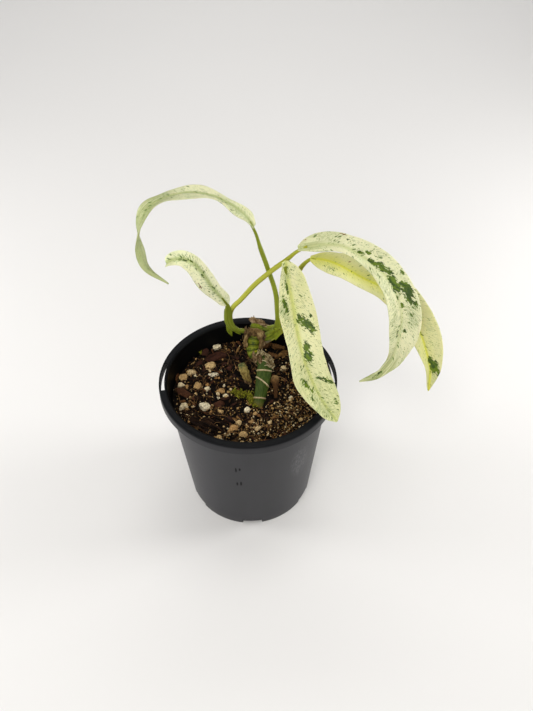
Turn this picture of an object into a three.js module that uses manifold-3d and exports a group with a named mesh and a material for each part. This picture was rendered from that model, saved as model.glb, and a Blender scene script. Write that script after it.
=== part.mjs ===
// Potted variegated epipremnum giganteum: one leaning vine with five long leaves in a nursery pot.
// Millimetres, +Z up, origin at the centre of the pot's underside, -Y is the viewer's side.

import * as THREE from "three";
import { mergeVertices } from "three/addons/utils/BufferGeometryUtils.js";
import Module from "manifold-3d";

const wasm = await Module();
wasm.setup();

// Driving dimensions of the pot
const POT_HEIGHT = 138;
const RIM_RADIUS = 75;
const BASE_RADIUS = 56;
const NECK_RADIUS = 69.6;
const WALL = 1.3;
const FLANGE_INNER = 69.2;
const SKIRT_DEPTH = 9;
const SKIRT_WALL = 1.3;
const FLANGE_THICK = 1.4;
const FLOOR_THICK = 1.6;
const PAD_RADIUS = 32;
const GROOVE_OUTER = 47;
const GROOVE_RISE = 2.5;
const GROOVE_SLOPE = 2;
const FOOT_ROUND = 1.5;
const POT_SEGMENTS = 64;
const DRAIN_COUNT = 6;
const DRAIN_RADIUS = 3.5;
const NOTCH_COUNT = 6;
const NOTCH_WIDTH = 18;
const NOTCH_HEIGHT = 3.6;
const NOTCH_START = -90;
const SLOT_INNER = 70.3;
const SLOT_OUTER = 73.3;
const SLOT_SPANS = [[-8, 13], [165, 190]];
const SLOT_STEPS = 5;

// Driving dimensions of the soil
const GAP = 0.35;
const SOIL_LEVEL = 117;
const SOIL_SECTORS = 48;
const SOIL_RINGS = 9;
const SOIL_BUMP = 1.1;
const SOIL_MOUND = 2.2;
const MOUND_CENTRE = 6;
const MOUND_SPREAD = 30;
const BUMP_X = 0.21;
const BUMP_Y = 0.17;
const BUMP_FINE = 0.6;
const BUMP_CALM = 0.5;
const SCATTER_SEED = 71;
const SCATTER_GRAINS = 46;
const SCATTER_CHIPS = 14;

// Driving dimensions of the leaves
const BLADE_STATIONS = 28;
const BLADE_CELLS = 4;
const BLADE_THICK = 0.8;
const RIB_BASE = 1.3;
const RIB_TIP = 0.3;
const PETIOLE_SIDES = 8;
const STEM_SIDES = 14;

const UP = new THREE.Vector3(0, 0, 1);

// Small helpers
function radians(degrees) {
  return degrees * Math.PI / 180;
}

function seeded(seed) {
  let state = seed >>> 0;
  return () => {
    state = (Math.imul(state, 1664525) + 1013904223) >>> 0;
    return state / 4294967296;
  };
}

function spread(random, low, high) {
  return low + (high - low) * random();
}

function vector(list) {
  return new THREE.Vector3(list[0], list[1], list[2]);
}

// Smooth curve through rows of values at rising keys
function through(keys, rows, t) {
  const last = keys.length - 1;
  let i = 0;
  while (i < last - 1 && t >= keys[i + 1]) {
    i += 1;
  }
  const h = keys[i + 1] - keys[i];
  const u = Math.min(Math.max((t - keys[i]) / h, 0), 1);
  const slope = (k, c) => {
    const a = Math.max(k - 1, 0);
    const b = Math.min(k + 1, last);
    return (rows[b][c] - rows[a][c]) / (keys[b] - keys[a]);
  };
  return rows[i].map((value, c) => {
    const start = (1 + 2 * u) * (1 - u) ** 2 * value;
    const startSlope = u * (1 - u) ** 2 * h * slope(i, c);
    const end = u * u * (3 - 2 * u) * rows[i + 1][c];
    const endSlope = u * u * (u - 1) * h * slope(i + 1, c);
    return start + startSlope + end + endSlope;
  });
}

function chordKeys(points) {
  const keys = [0];
  for (let i = 1; i < points.length; i += 1) {
    keys.push(keys[i - 1] + vector(points[i]).distanceTo(vector(points[i - 1])));
  }
  return keys.map((value) => value / keys[keys.length - 1]);
}

function curvePoint(points, keys, t) {
  return vector(through(keys, points, t));
}

function curveTangent(points, keys, t) {
  const step = 0.001;
  const ahead = curvePoint(points, keys, Math.min(t + step, 1));
  return ahead.sub(curvePoint(points, keys, Math.max(t - step, 0))).normalize();
}

function table(rows, t) {
  return through(rows.map((row) => row[0]), rows.map((row) => row.slice(1)), t);
}

// Closed mesh to solid and back
function toSolid(geometry) {
  const clean = geometry.clone();
  clean.deleteAttribute("normal");
  clean.deleteAttribute("uv");
  const merged = mergeVertices(clean, 0.0001);
  return new wasm.Manifold(new wasm.Mesh({
    numProp: 3,
    vertProperties: new Float32Array(merged.attributes.position.array),
    triVerts: new Uint32Array(merged.index.array),
  }));
}

function toGeometry(solid) {
  const mesh = solid.getMesh();
  const geometry = new THREE.BufferGeometry();
  geometry.setAttribute("position", new THREE.BufferAttribute(new Float32Array(mesh.vertProperties), 3));
  geometry.setIndex(new THREE.BufferAttribute(new Uint32Array(mesh.triVerts), 1));
  return geometry;
}

function fromArrays(points, faces) {
  const geometry = new THREE.BufferGeometry();
  const flat = new Float32Array(points.length * 3);
  points.forEach((point, i) => point.toArray(flat, i * 3));
  geometry.setAttribute("position", new THREE.BufferAttribute(flat, 3));
  geometry.setIndex(faces);
  return geometry;
}

// Round or oval tube along points
// Radii rows are [t, half width, half depth], side is one direction or rows of directions
function tube(points, radii, sides, steps, side, ripple) {
  const keys = chordKeys(points);
  const rings = [];
  for (let i = 0; i <= steps; i += 1) {
    const t = i / steps;
    const centre = curvePoint(points, keys, t);
    const along = curveTangent(points, keys, t);
    const lean = vector(Array.isArray(side[0]) ? table(side, t) : side);
    const across = lean.clone().addScaledVector(along, -lean.dot(along)).normalize();
    const deep = new THREE.Vector3().crossVectors(along, across);
    const [wide, depth] = table(radii, t);
    for (let k = 0; k < sides; k += 1) {
      const angle = 2 * Math.PI * k / sides;
      const swell = ripple ? ripple(t, angle) : 1;
      rings.push(centre.clone()
        .addScaledVector(across, wide * swell * Math.cos(angle))
        .addScaledVector(deep, depth * swell * Math.sin(angle)));
    }
  }
  const faces = [];
  for (let i = 0; i < steps; i += 1) {
    for (let k = 0; k < sides; k += 1) {
      const a = i * sides + k;
      const b = i * sides + (k + 1) % sides;
      faces.push(a, b, a + sides, b, b + sides, a + sides);
    }
  }
  const low = rings.length;
  rings.push(curvePoint(points, keys, 0));
  rings.push(curvePoint(points, keys, 1));
  for (let k = 0; k < sides; k += 1) {
    const next = (k + 1) % sides;
    faces.push(low, next, k);
    faces.push(low + 1, steps * sides + k, steps * sides + next);
  }
  return fromArrays(rings, faces);
}

// Closed sheet from an upper and a lower grid of points
function sheet(upper, lower, columns) {
  const rows = upper.length / columns;
  const points = upper.concat(lower);
  const shift = upper.length;
  const faces = [];
  for (let i = 0; i < rows - 1; i += 1) {
    for (let j = 0; j < columns - 1; j += 1) {
      const a = i * columns + j;
      const b = a + 1;
      const c = a + columns;
      const d = c + 1;
      faces.push(a, c, b, b, c, d);
      faces.push(a + shift, b + shift, c + shift, b + shift, d + shift, c + shift);
    }
  }
  const rim = [];
  for (let j = 0; j < columns - 1; j += 1) {
    rim.push(j);
  }
  for (let i = 0; i < rows - 1; i += 1) {
    rim.push(i * columns + columns - 1);
  }
  for (let j = columns - 1; j > 0; j -= 1) {
    rim.push((rows - 1) * columns + j);
  }
  for (let i = rows - 1; i > 0; i -= 1) {
    rim.push(i * columns);
  }
  rim.forEach((a, k) => {
    const b = rim[(k + 1) % rim.length];
    faces.push(a, b, a + shift, b, b + shift, a + shift);
  });
  return fromArrays(points, faces);
}

// Leaf blade: midrib points, across rows [t, x, y, z], half widths [t, right, left], waved margins
function blade(leaf) {
  const keys = chordKeys(leaf.midrib);
  const columns = 2 * BLADE_CELLS + 1;
  const upper = [];
  const lower = [];
  for (let i = 0; i <= BLADE_STATIONS; i += 1) {
    const t = i / BLADE_STATIONS;
    const centre = curvePoint(leaf.midrib, keys, t);
    const along = curveTangent(leaf.midrib, keys, t);
    const lean = vector(table(leaf.across, t));
    const across = lean.addScaledVector(along, -lean.dot(along)).normalize();
    const face = new THREE.Vector3().crossVectors(along, across).multiplyScalar(leaf.face);
    const [right, left] = table(leaf.halfWidths, t);
    const rib = RIB_BASE + (RIB_TIP - RIB_BASE) * t;
    for (let j = -BLADE_CELLS; j <= BLADE_CELLS; j += 1) {
      const part = j / BLADE_CELLS;
      const half = j > 0 ? right : left;
      const reach = Math.max(half, 0.5) * part;
      const lift = Math.abs(reach) * Math.tan(radians(leaf.fold));
      const phase = leaf.wavePhase + (j > 0 ? 0 : leaf.waveShift);
      const wave = leaf.wave * part * part * Math.sin(2 * Math.PI * leaf.waves * t + phase);
      const fade = Math.min(1, half / 6);
      const middle = centre.clone()
        .addScaledVector(across, reach)
        .addScaledVector(face, lift + wave * fade);
      const keel = j === 0 ? rib : 0;
      upper.push(middle.clone().addScaledVector(face, BLADE_THICK / 2));
      lower.push(middle.clone().addScaledVector(face, -BLADE_THICK / 2 - keel));
    }
  }
  return leaf.face > 0 ? sheet(upper, lower, columns) : sheet(lower, upper, columns);
}

// Blade and stalk as one body, its foot cut to clasp the stem with a small gap
function leafSolid(leaf) {
  const stalk = tube(leaf.petiole, leaf.petioleRadii, PETIOLE_SIDES, leaf.petioleSteps, leaf.petioleSide);
  const room = tube(STEM_POINTS, STEM_RADII.map(([t, a, b]) => [t, a + GAP, b + GAP]),
    STEM_SIDES, STEM_STEPS, STEM_SIDE, stemRipple);
  return toSolid(blade(leaf)).add(toSolid(stalk).subtract(toSolid(room)));
}

// Leaf 1 arches up and over to the left
const LEAF_1 = {
  petiole: [[8.5, 36, 153.5], [14.5, 37, 148.5], [21, 40, 148], [25.5, 40.2, 153], [27.4, 41, 161.6],
    [26.8, 42, 173.5], [25.7, 43, 188], [23.8, 44.5, 198], [20.9, 46, 208], [16.3, 46.5, 224.5],
    [12.8, 46, 237], [9.5, 45, 251], [5, 44, 263]],
  petioleRadii: [[0, 2.6, 2.4], [0.06, 3.4, 2.6], [0.13, 4, 3], [0.22, 3.2, 2.6], [0.42, 2.3, 2.1],
    [0.78, 2, 1.9], [0.83, 1.6, 1.5], [1, 1.2, 1]],
  petioleSteps: 20,
  petioleSide: [[0, 0.4, -0.5, -0.8], [0.2, 0.6, -0.8, -0.3], [1, 0.6, -0.8, 0]],
  midrib: [[8, 44, 258], [0, 43, 271], [-10, 41, 281], [-22, 38, 290], [-38, 35, 295], [-50, 32, 295],
    [-60, 28, 293], [-67, 25, 289], [-72, 22, 283], [-76, 18, 273], [-77, 15, 261], [-73, 12, 246],
    [-58, 10, 232]],
  across: [[0, 0.5, 0.85, 0.1], [0.12, 0.3, 0.93, -0.05], [0.3, 0, 0.99, -0.15], [0.5, -0.1, 0.97, -0.15],
    [0.6, -0.35, 0.9, -0.2], [0.69, -0.15, 0.83, -0.5], [0.78, 0.35, 0.85, -0.35], [0.88, 0.55, 0.8, -0.28],
    [1, 0.5, 0.8, -0.1]],
  halfWidths: [[0, 3.2, 2], [0.05, 6, 3.4], [0.1, 5.6, 6], [0.16, 5.8, 9], [0.22, 8, 10.5], [0.3, 10.4, 10.5],
    [0.4, 8.2, 12], [0.5, 10, 9.4], [0.58, 11, 11], [0.66, 8.6, 10.5], [0.74, 7.6, 5.4], [0.82, 6.4, 3.6],
    [0.92, 3.6, 2.2], [1, 0.5, 0.5]],
  face: -1,
  fold: 8,
  wave: 1.2,
  waves: 3.5,
  wavePhase: 0,
  waveShift: 1.8,
};

// Leaf 2 is the short one at the left with its tip curled under
const LEAF_2 = {
  petiole: [[8, 36.5, 156.5], [0.5, 36.5, 156], [-6, 37, 156], [-11.5, 36, 160.5], [-14.8, 34.7, 170],
    [-15, 33.5, 181], [-15, 32.4, 189], [-19, 31.5, 199]],
  petioleRadii: [[0, 2.4, 1.6], [0.2, 3.2, 1.4], [0.42, 3.5, 1.2], [0.68, 3.2, 1.2], [0.82, 2.2, 1.1],
    [0.88, 1.6, 1.1], [1, 1.2, 0.9]],
  petioleSteps: 16,
  petioleSide: [[0, 0.2, -0.5, 0.8], [0.2, 0.3, -0.5, 0.8], [0.42, 1, -0.2, 0.5], [0.6, 1, -0.2, 0.2],
    [1, 1, -0.1, 0.1]],
  midrib: [[-15, 32, 191], [-21, 31, 202], [-26, 30, 211], [-33, 28, 227], [-39, 25, 239], [-46, 22, 246],
    [-52, 18, 249], [-56, 16.5, 248.5], [-58.3, 16.5, 246.3], [-57.5, 18.5, 243.5]],
  across: [[0, 0.8, 0.1, 0.6], [0.28, 0.75, 0.1, 0.6], [0.56, 0.6, 0.45, 0.6], [0.8, 0.3, 0.7, 0.6],
    [0.9, 0, 0.8, 0.6], [1, 0, 0.8, 0.6]],
  halfWidths: [[0, 1.6, 2.2], [0.05, 4.6, 5], [0.11, 6.8, 5.9], [0.18, 6.7, 7], [0.28, 6.1, 8.2],
    [0.42, 6.3, 9.3], [0.56, 5.8, 9], [0.68, 6, 8], [0.78, 6.2, 6.6], [0.86, 6, 5.2], [0.91, 4.8, 4.4],
    [0.955, 3, 3], [1, 0.6, 0.6]],
  face: -1,
  fold: 13,
  wave: 0.7,
  waves: 2,
  wavePhase: 0.6,
  waveShift: 2,
};

// Leaf 3 hangs forward to the right over the rim
const LEAF_3 = {
  petiole: [[7.5, 38.5, 154.5], [11, 45.5, 150.5], [18.5, 48.8, 147.5], [29, 49.5, 150], [35, 49, 161],
    [36.8, 47.5, 172], [36.5, 45, 185], [35, 38, 203], [32.5, 32, 218], [31.5, 32, 228], [32.5, 31.5, 226]],
  petioleRadii: [[0, 2.4, 2.2], [0.15, 2.7, 2.2], [0.35, 2.4, 2.1], [0.8, 2, 1.9], [0.92, 1.7, 1.6],
    [1, 1.4, 1.2]],
  petioleSteps: 18,
  petioleSide: [0.7, -0.7, 0],
  midrib: [[32, 34, 232], [34, 29.5, 217], [38, 20, 197], [41, 7, 181], [45, -9, 168], [50, -22, 158],
    [55, -33, 152], [61, -43, 146], [69, -54, 140]],
  across: [[0, 0.9, 0.35, 0.1], [0.3, 0.95, 0.2, 0.15], [0.7, 0.95, 0.25, 0.1], [1, 0.9, 0.3, 0.1]],
  halfWidths: [[0, 3, 3.2], [0.04, 8.5, 4.2], [0.1, 12.6, 6.4], [0.2, 15.1, 10.4], [0.31, 16.9, 12.6],
    [0.42, 17.3, 11.4], [0.52, 16.8, 10.9], [0.62, 16, 12.8], [0.72, 14.9, 14.9], [0.81, 14.7, 12.4],
    [0.9, 12.4, 9.2], [0.96, 7.6, 6.6], [1, 0.8, 0.8]],
  face: 1,
  fold: 14,
  wave: 1,
  waves: 3,
  wavePhase: 0.4,
  waveShift: 2.4,
};

// Leaf 4 is the longest, over the right side with its tip curled back
const LEAF_4 = {
  petiole: [[7, 37.5, 154], [0, 43.5, 149.5], [-7, 44, 150.5], [-12, 42, 158.5], [-13.5, 40, 170],
    [-12.4, 37.5, 179], [-9.9, 36, 185.5], [-4.5, 35.5, 192], [1.5, 35.5, 200], [8, 36.5, 207.5],
    [16, 38, 214.5], [24.5, 40.5, 220.5], [33.5, 43, 226.2], [41, 40, 236.2], [49, 36, 244]],
  petioleRadii: [[0, 2.4, 2.2], [0.15, 2.6, 2], [0.35, 2.3, 2], [0.82, 2, 2], [0.88, 1.6, 1.6],
    [1, 1.3, 1.1]],
  petioleSteps: 22,
  petioleSide: [0.2, -1, 0.1],
  midrib: [[42, 38, 241], [53, 35, 245], [63, 32, 248], [73, 29, 249], [84, 26, 245], [95, 22, 239],
    [103, 18, 234], [110, 13, 227], [116, 8, 218], [119, 3, 211], [121, -3, 202], [120, -9, 189],
    [118, -13, 181], [115, -16, 171], [110, -18, 163], [103, -20, 155], [90, -22, 151]],
  across: [[0, -0.3, 0.8, 0.4], [0.2, 0.1, 0.85, 0.4], [0.4, 0.6, 0.75, 0.3], [0.55, 0.85, 0.5, 0.2],
    [0.7, 0.95, 0.2, 0], [0.85, 0.7, -0.2, -0.5], [1, 0.4, -0.5, -0.7]],
  halfWidths: [[0, 2, 2], [0.04, 6.5, 3.5], [0.1, 10, 5.5], [0.2, 11, 6.5], [0.33, 13.3, 7], [0.45, 15.6, 11],
    [0.6, 15.3, 11.6], [0.7, 15.2, 9.5], [0.8, 9.5, 4.5], [0.88, 4.5, 2.4], [0.94, 2.4, 2.8], [1, 0.5, 0.6]],
  face: 1,
  fold: 12,
  wave: 1.1,
  waves: 3.5,
  wavePhase: 1,
  waveShift: 2.2,
};

// Leaf 5 is behind leaf 4 and hangs down at the far right
const LEAF_5 = {
  petiole: [[6.5, 28.5, 145.5], [12.5, 36.5, 140.5], [20.5, 45.5, 137.5], [30, 52, 140], [37.5, 54.5, 150],
    [40.8, 54, 167], [41.5, 53, 190], [45, 50.5, 210], [53, 46.5, 223.5], [60, 45.5, 223]],
  petioleRadii: [[0, 2.4, 2], [0.17, 2.6, 2.2], [0.35, 2.4, 2.1], [0.86, 2, 1.9], [0.91, 1.6, 1.5],
    [1, 1.2, 1]],
  petioleSteps: 19,
  petioleSide: [0.7, -0.7, 0],
  midrib: [[53, 46, 225], [66, 45, 223], [77, 43, 219], [89, 41, 212], [100, 38, 207], [113, 35, 201],
    [128.5, 30, 190], [138.5, 22, 177], [145.5, 14, 165], [149.5, 9, 155], [154.5, 2, 138], [155, -5, 118]],
  across: [[0, 0.1, 0.8, 0.5], [0.3, 0.45, 0.8, 0.5], [0.55, 0.75, 0.6, 0.3], [0.8, 0.95, 0.3, 0],
    [1, 0.95, 0.1, 0.1]],
  halfWidths: [[0, 2, 2.4], [0.04, 5, 8], [0.1, 8.5, 11.2], [0.2, 13, 10], [0.35, 16.5, 9.5],
    [0.5, 16.2, 13.5], [0.65, 16.2, 11.8], [0.78, 15.2, 7.6], [0.88, 9.8, 4.4], [0.96, 3.4, 2.2],
    [1, 0.5, 0.5]],
  face: 1,
  fold: 12,
  wave: 1,
  waves: 3,
  wavePhase: 2,
  waveShift: 2.6,
};

// Stem: a back-leaning vine with ringed joints
const STEM_POINTS = [[6, -17.5, 100], [7.8, -13.5, 116.5], [11.5, -1.5, 126], [13.8, 8.5, 132.7],
  [14.2, 15.5, 137.5], [9, 21, 139.5], [5.6, 25.5, 141.5], [5.6, 31, 148.5], [8, 36.5, 155],
  [9.8, 42, 161.5]];
const STEM_RADII = [[0, 4, 4], [0.18, 4.6, 4.6], [0.3, 5.4, 5.3], [0.45, 6.4, 6.2], [0.57, 6, 5.8],
  [0.65, 4.8, 4.6], [0.72, 5.6, 5.4], [0.85, 5.8, 5.6], [0.95, 5.7, 5.3], [1, 4.6, 4.4]];
const STEM_STEPS = 34;
const STEM_SIDE = [1, 0, 0];
const STEM_RINGS = 9;
const STEM_RING_DEPTH = 0.05;

function stemRipple(t) {
  return 1 + STEM_RING_DEPTH * Math.max(0, Math.cos(2 * Math.PI * STEM_RINGS * t)) ** 3;
}

// Aerial root beside the stem, with the tan knob it grows from
const ROOT_POINTS = [[22.7, 7, 131], [23, 2.5, 127.5], [23.2, -3, 122], [23, -8, 114], [22, -9, 103]];
const ROOT_RADII = [[0, 1.8, 1.5], [0.12, 3, 2.7], [0.3, 1.9, 1.8], [1, 1.4, 1.4]];

// Cut stub of an older petiole left of the stem
const STUB_POINTS = [[2, 10, 106], [0.5, 11, 118], [-3, 13.5, 130], [-5.5, 16, 137.5]];
const STUB_RADII = [[0, 2, 1.8], [0.4, 3, 2.4], [0.85, 3.7, 2.2], [1, 2.8, 1.4]];

// Sheet wrapped round the stem, rows over t and columns over the angle about the stem
function wrap(spec) {
  const keys = chordKeys(STEM_POINTS);
  const upper = [];
  const lower = [];
  const columns = spec.columns + 1;
  for (let i = 0; i <= spec.rows; i += 1) {
    for (let j = 0; j <= spec.columns; j += 1) {
      const q = j / spec.columns;
      const ragged = spec.ragged * Math.sin(spec.teeth * Math.PI * q + i);
      const end = i === 0 || i === spec.rows ? ragged : 0;
      const low = spec.from + spec.open * Math.sin(Math.PI * q);
      const t = low + (spec.to - low) * (i / spec.rows) + end;
      const angle = radians(spec.start + (spec.stop - spec.start) * q);
      const centre = curvePoint(STEM_POINTS, keys, t);
      const along = curveTangent(STEM_POINTS, keys, t);
      const lean = vector(STEM_SIDE);
      const across = lean.addScaledVector(along, -lean.dot(along)).normalize();
      const deep = new THREE.Vector3().crossVectors(along, across);
      const [wide] = table(STEM_RADII, t);
      const bulge = spec.bulge * Math.sin(Math.PI * i / spec.rows) * (0.6 + 0.4 * Math.sin(5 * q + i));
      const inner = wide * (1 + STEM_RING_DEPTH) + GAP + spec.lift + bulge;
      const out = across.multiplyScalar(Math.cos(angle)).addScaledVector(deep, Math.sin(angle));
      upper.push(centre.clone().addScaledVector(out, inner + spec.thick));
      lower.push(centre.clone().addScaledVector(out, inner));
    }
  }
  return sheet(lower, upper, columns);
}

const CROWN_SHEATH = {
  from: 0.77, to: 0.935, open: 0.07, start: -150, stop: -25, rows: 5, columns: 12,
  ragged: 0.01, teeth: 5, thick: 0.8, lift: 1, bulge: 1.2,
};
const FIBRE_SHEATH = {
  from: 0.5, to: 0.64, open: 0, start: -70, stop: 20, rows: 5, columns: 9,
  ragged: 0.012, teeth: 6, thick: 0.8, lift: 0.4, bulge: 1.6,
};

// Pot: thin wall, rolled rim with a hanging skirt, ribbed floor
function wallOuter(z) {
  return BASE_RADIUS + (NECK_RADIUS - BASE_RADIUS) * z / POT_HEIGHT;
}

function potSolid() {
  const floorTop = FLOOR_THICK;
  const groove = GROOVE_RISE;
  const under = POT_HEIGHT - FLANGE_THICK;
  const skirtInner = RIM_RADIUS - SKIRT_WALL;
  const skirtLow = POT_HEIGHT - SKIRT_DEPTH;
  const edge = 0.5;
  const outline = [
    [0, 0], [PAD_RADIUS, 0], [PAD_RADIUS + GROOVE_SLOPE, groove], [GROOVE_OUTER - GROOVE_SLOPE, groove],
    [GROOVE_OUTER, 0], [BASE_RADIUS - FOOT_ROUND, 0], [wallOuter(FOOT_ROUND), FOOT_ROUND],
    [wallOuter(skirtLow), skirtLow], [wallOuter(under), under], [skirtInner, under], [skirtInner, skirtLow],
    [RIM_RADIUS, skirtLow], [RIM_RADIUS, POT_HEIGHT - edge], [RIM_RADIUS - edge, POT_HEIGHT],
    [FLANGE_INNER, POT_HEIGHT], [wallOuter(under) - WALL, under - edge],
    [wallOuter(FLOOR_THICK + GROOVE_SLOPE) - WALL, floorTop + GROOVE_SLOPE],
    [BASE_RADIUS - WALL - edge, floorTop],
    [GROOVE_OUTER + edge, floorTop], [GROOVE_OUTER - GROOVE_SLOPE + edge, floorTop + groove],
    [PAD_RADIUS + GROOVE_SLOPE - edge, floorTop + groove], [PAD_RADIUS - edge, floorTop], [0, floorTop],
  ];
  const profile = outline.map(([r, z]) => new THREE.Vector2(r, z));
  const lathe = new THREE.LatheGeometry(profile, POT_SEGMENTS);
  lathe.rotateX(Math.PI / 2);
  let pot = toSolid(lathe);
  for (const [from, to] of SLOT_SPANS) {
    pot = pot.subtract(arcBlock(SLOT_INNER, SLOT_OUTER, from, to, under - 2, POT_HEIGHT + 2));
  }
  for (let k = 0; k < NOTCH_COUNT; k += 1) {
    const notch = new THREE.BoxGeometry(BASE_RADIUS - GROOVE_OUTER, NOTCH_WIDTH, 2 * NOTCH_HEIGHT);
    notch.translate(BASE_RADIUS, 0, 0);
    notch.rotateZ(radians(NOTCH_START + k * 360 / NOTCH_COUNT));
    pot = pot.subtract(toSolid(notch));
  }
  const drainAt = (PAD_RADIUS + GROOVE_OUTER) / 2;
  for (let k = 0; k < DRAIN_COUNT; k += 1) {
    const drain = new THREE.CylinderGeometry(DRAIN_RADIUS, DRAIN_RADIUS, 4 * GROOVE_RISE, 12);
    drain.rotateX(Math.PI / 2);
    drain.translate(drainAt, 0, GROOVE_RISE);
    drain.rotateZ(radians(NOTCH_START + (k + 0.5) * 360 / DRAIN_COUNT));
    pot = pot.subtract(toSolid(drain));
  }
  return pot;
}

// Block bent round the pot's axis
function arcBlock(inner, outer, from, to, low, high) {
  const points = [];
  for (let i = 0; i <= SLOT_STEPS; i += 1) {
    const angle = radians(from + (to - from) * i / SLOT_STEPS);
    for (const [r, z] of [[inner, low], [outer, low], [outer, high], [inner, high]]) {
      points.push(new THREE.Vector3(r * Math.cos(angle), r * Math.sin(angle), z));
    }
  }
  const faces = [];
  for (let i = 0; i < SLOT_STEPS; i += 1) {
    for (let k = 0; k < 4; k += 1) {
      const a = 4 * i + k;
      const b = 4 * i + (k + 1) % 4;
      faces.push(a, a + 4, b, b, a + 4, b + 4);
    }
  }
  const end = 4 * SLOT_STEPS;
  faces.push(0, 1, 2, 0, 2, 3, end, end + 2, end + 1, end, end + 3, end + 2);
  return toSolid(fromArrays(points, faces));
}

// Soil surface height: a low mound round the stem and shallow bumps that calm toward the wall
function soilHeight(x, y) {
  const fromMound = Math.hypot(x - MOUND_CENTRE, y - MOUND_CENTRE) / MOUND_SPREAD;
  const mound = SOIL_MOUND * Math.exp(-(fromMound ** 2));
  const broad = Math.sin(BUMP_X * x + 1.3) * Math.sin(BUMP_Y * y - 0.4);
  const fine = BUMP_FINE * Math.sin(2 * BUMP_X * x - 2 * BUMP_Y * y);
  const calm = 1 - BUMP_CALM * (Math.hypot(x, y) / NECK_RADIUS) ** 4;
  return SOIL_LEVEL + mound + SOIL_BUMP * (broad + fine) * calm;
}

function soilRadius(z) {
  return wallOuter(z) - WALL - GAP;
}

function soilSolid() {
  const points = [];
  const faces = [];
  const floor = FLOOR_THICK + GAP;
  const lift = GROOVE_RISE + GAP;
  const skirtTop = SOIL_LEVEL - 4;
  const profile = [
    [PAD_RADIUS - 1, floor], [PAD_RADIUS + 1, floor + lift], [GROOVE_OUTER - 1, floor + lift],
    [GROOVE_OUTER + 1, floor], [soilRadius(0) - 1.5, floor], [soilRadius(5) - 0.3, floor + 3],
    [soilRadius(skirtTop), skirtTop],
  ];
  points.push(new THREE.Vector3(0, 0, floor));
  const ring = (r, z) => {
    for (let k = 0; k < SOIL_SECTORS; k += 1) {
      const angle = 2 * Math.PI * k / SOIL_SECTORS;
      const x = r * Math.cos(angle);
      const y = r * Math.sin(angle);
      points.push(new THREE.Vector3(x, y, z === null ? soilHeight(x, y) : z));
    }
  };
  profile.forEach(([r, z]) => ring(r, z));
  for (let i = SOIL_RINGS; i > 0; i -= 1) {
    ring(soilRadius(SOIL_LEVEL - 3) * i / SOIL_RINGS, null);
  }
  points.push(new THREE.Vector3(0, 0, soilHeight(0, 0)));
  const rings = profile.length + SOIL_RINGS;
  for (let i = 0; i < rings - 1; i += 1) {
    for (let k = 0; k < SOIL_SECTORS; k += 1) {
      const a = 1 + i * SOIL_SECTORS + k;
      const b = 1 + i * SOIL_SECTORS + (k + 1) % SOIL_SECTORS;
      faces.push(a, b, a + SOIL_SECTORS, b, b + SOIL_SECTORS, a + SOIL_SECTORS);
    }
  }
  const lastRing = 1 + (rings - 1) * SOIL_SECTORS;
  for (let k = 0; k < SOIL_SECTORS; k += 1) {
    const next = (k + 1) % SOIL_SECTORS;
    faces.push(0, 1 + next, 1 + k);
    faces.push(points.length - 1, lastRing + k, lastRing + next);
  }
  return toSolid(fromArrays(points, faces));
}

// Rounded grain or flat chip, sunk into the soil
function grain(x, y, size, turn, tilt, sunk) {
  const shape = new THREE.IcosahedronGeometry(1, 0);
  shape.scale(size[0] / 2, size[1] / 2, size[2] / 2);
  shape.rotateX(tilt);
  shape.rotateZ(turn);
  shape.translate(x, y, soilHeight(x, y) + size[2] / 2 - sunk);
  return toSolid(shape);
}

function chip(x, y, size, turn, tilt, sunk) {
  const shape = new THREE.BoxGeometry(size[0], size[1], size[2]);
  shape.rotateX(tilt);
  shape.rotateZ(turn);
  shape.translate(x, y, soilHeight(x, y) + size[2] / 2 - sunk);
  return toSolid(shape);
}

// Larger pieces that show: x, y, length, width, height, turn in degrees
const PERLITE = [
  [-39, -13, 9, 8, 7, 20], [-53, -15, 8, 6, 6, 60], [-34, 33, 9, 8, 7, 10], [-48, 25, 6, 6, 5, 0],
  [-44, 12, 8, 6, 5, 40], [-2, -20, 6, 5, 5, 0], [-30, 52, 9, 5, 4, 10], [-31, 27, 7, 5, 5, 80],
  [12, -35, 6, 5, 4, 0], [28, -28, 5, 5, 4, 30], [-50, 2, 6, 5, 4, 15],
];
const BARK = [
  [-28, 46, 19, 12, 6, 15], [-47, 0, 15, 9, 5, -35], [-28, -11, 13, 8, 6, 60], [-44, -33, 20, 6, 5, -35],
  [-34, -45, 16, 5, 4, -25], [38, 52, 16, 10, 7, 30], [-58, 17, 11, 4, 9, 70], [33, 8, 12, 7, 5, -20],
  [-14, 40, 12, 7, 5, 40], [40, -38, 12, 6, 4, 50],
];
const SUNK_SHARE = 0.55;
const HOLE_EASE = 1.08;
const STEM_HOLE = [[0, 5, 5], [0.33, 5.6, 5.6], [0.6, 6.9, 6.9], [1, 7.5, 7.5]];
const EDGE_CLEAR = 9;

// Round patches left free of lumps: stem, aerial root, stub
const CLEARINGS = [[9, 0, 17], [23, -6, 9], [0, 12, 10]];

function clearOfStem(x, y) {
  return CLEARINGS.every(([cx, cy, radius]) => Math.hypot(x - cx, y - cy) > radius);
}

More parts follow.
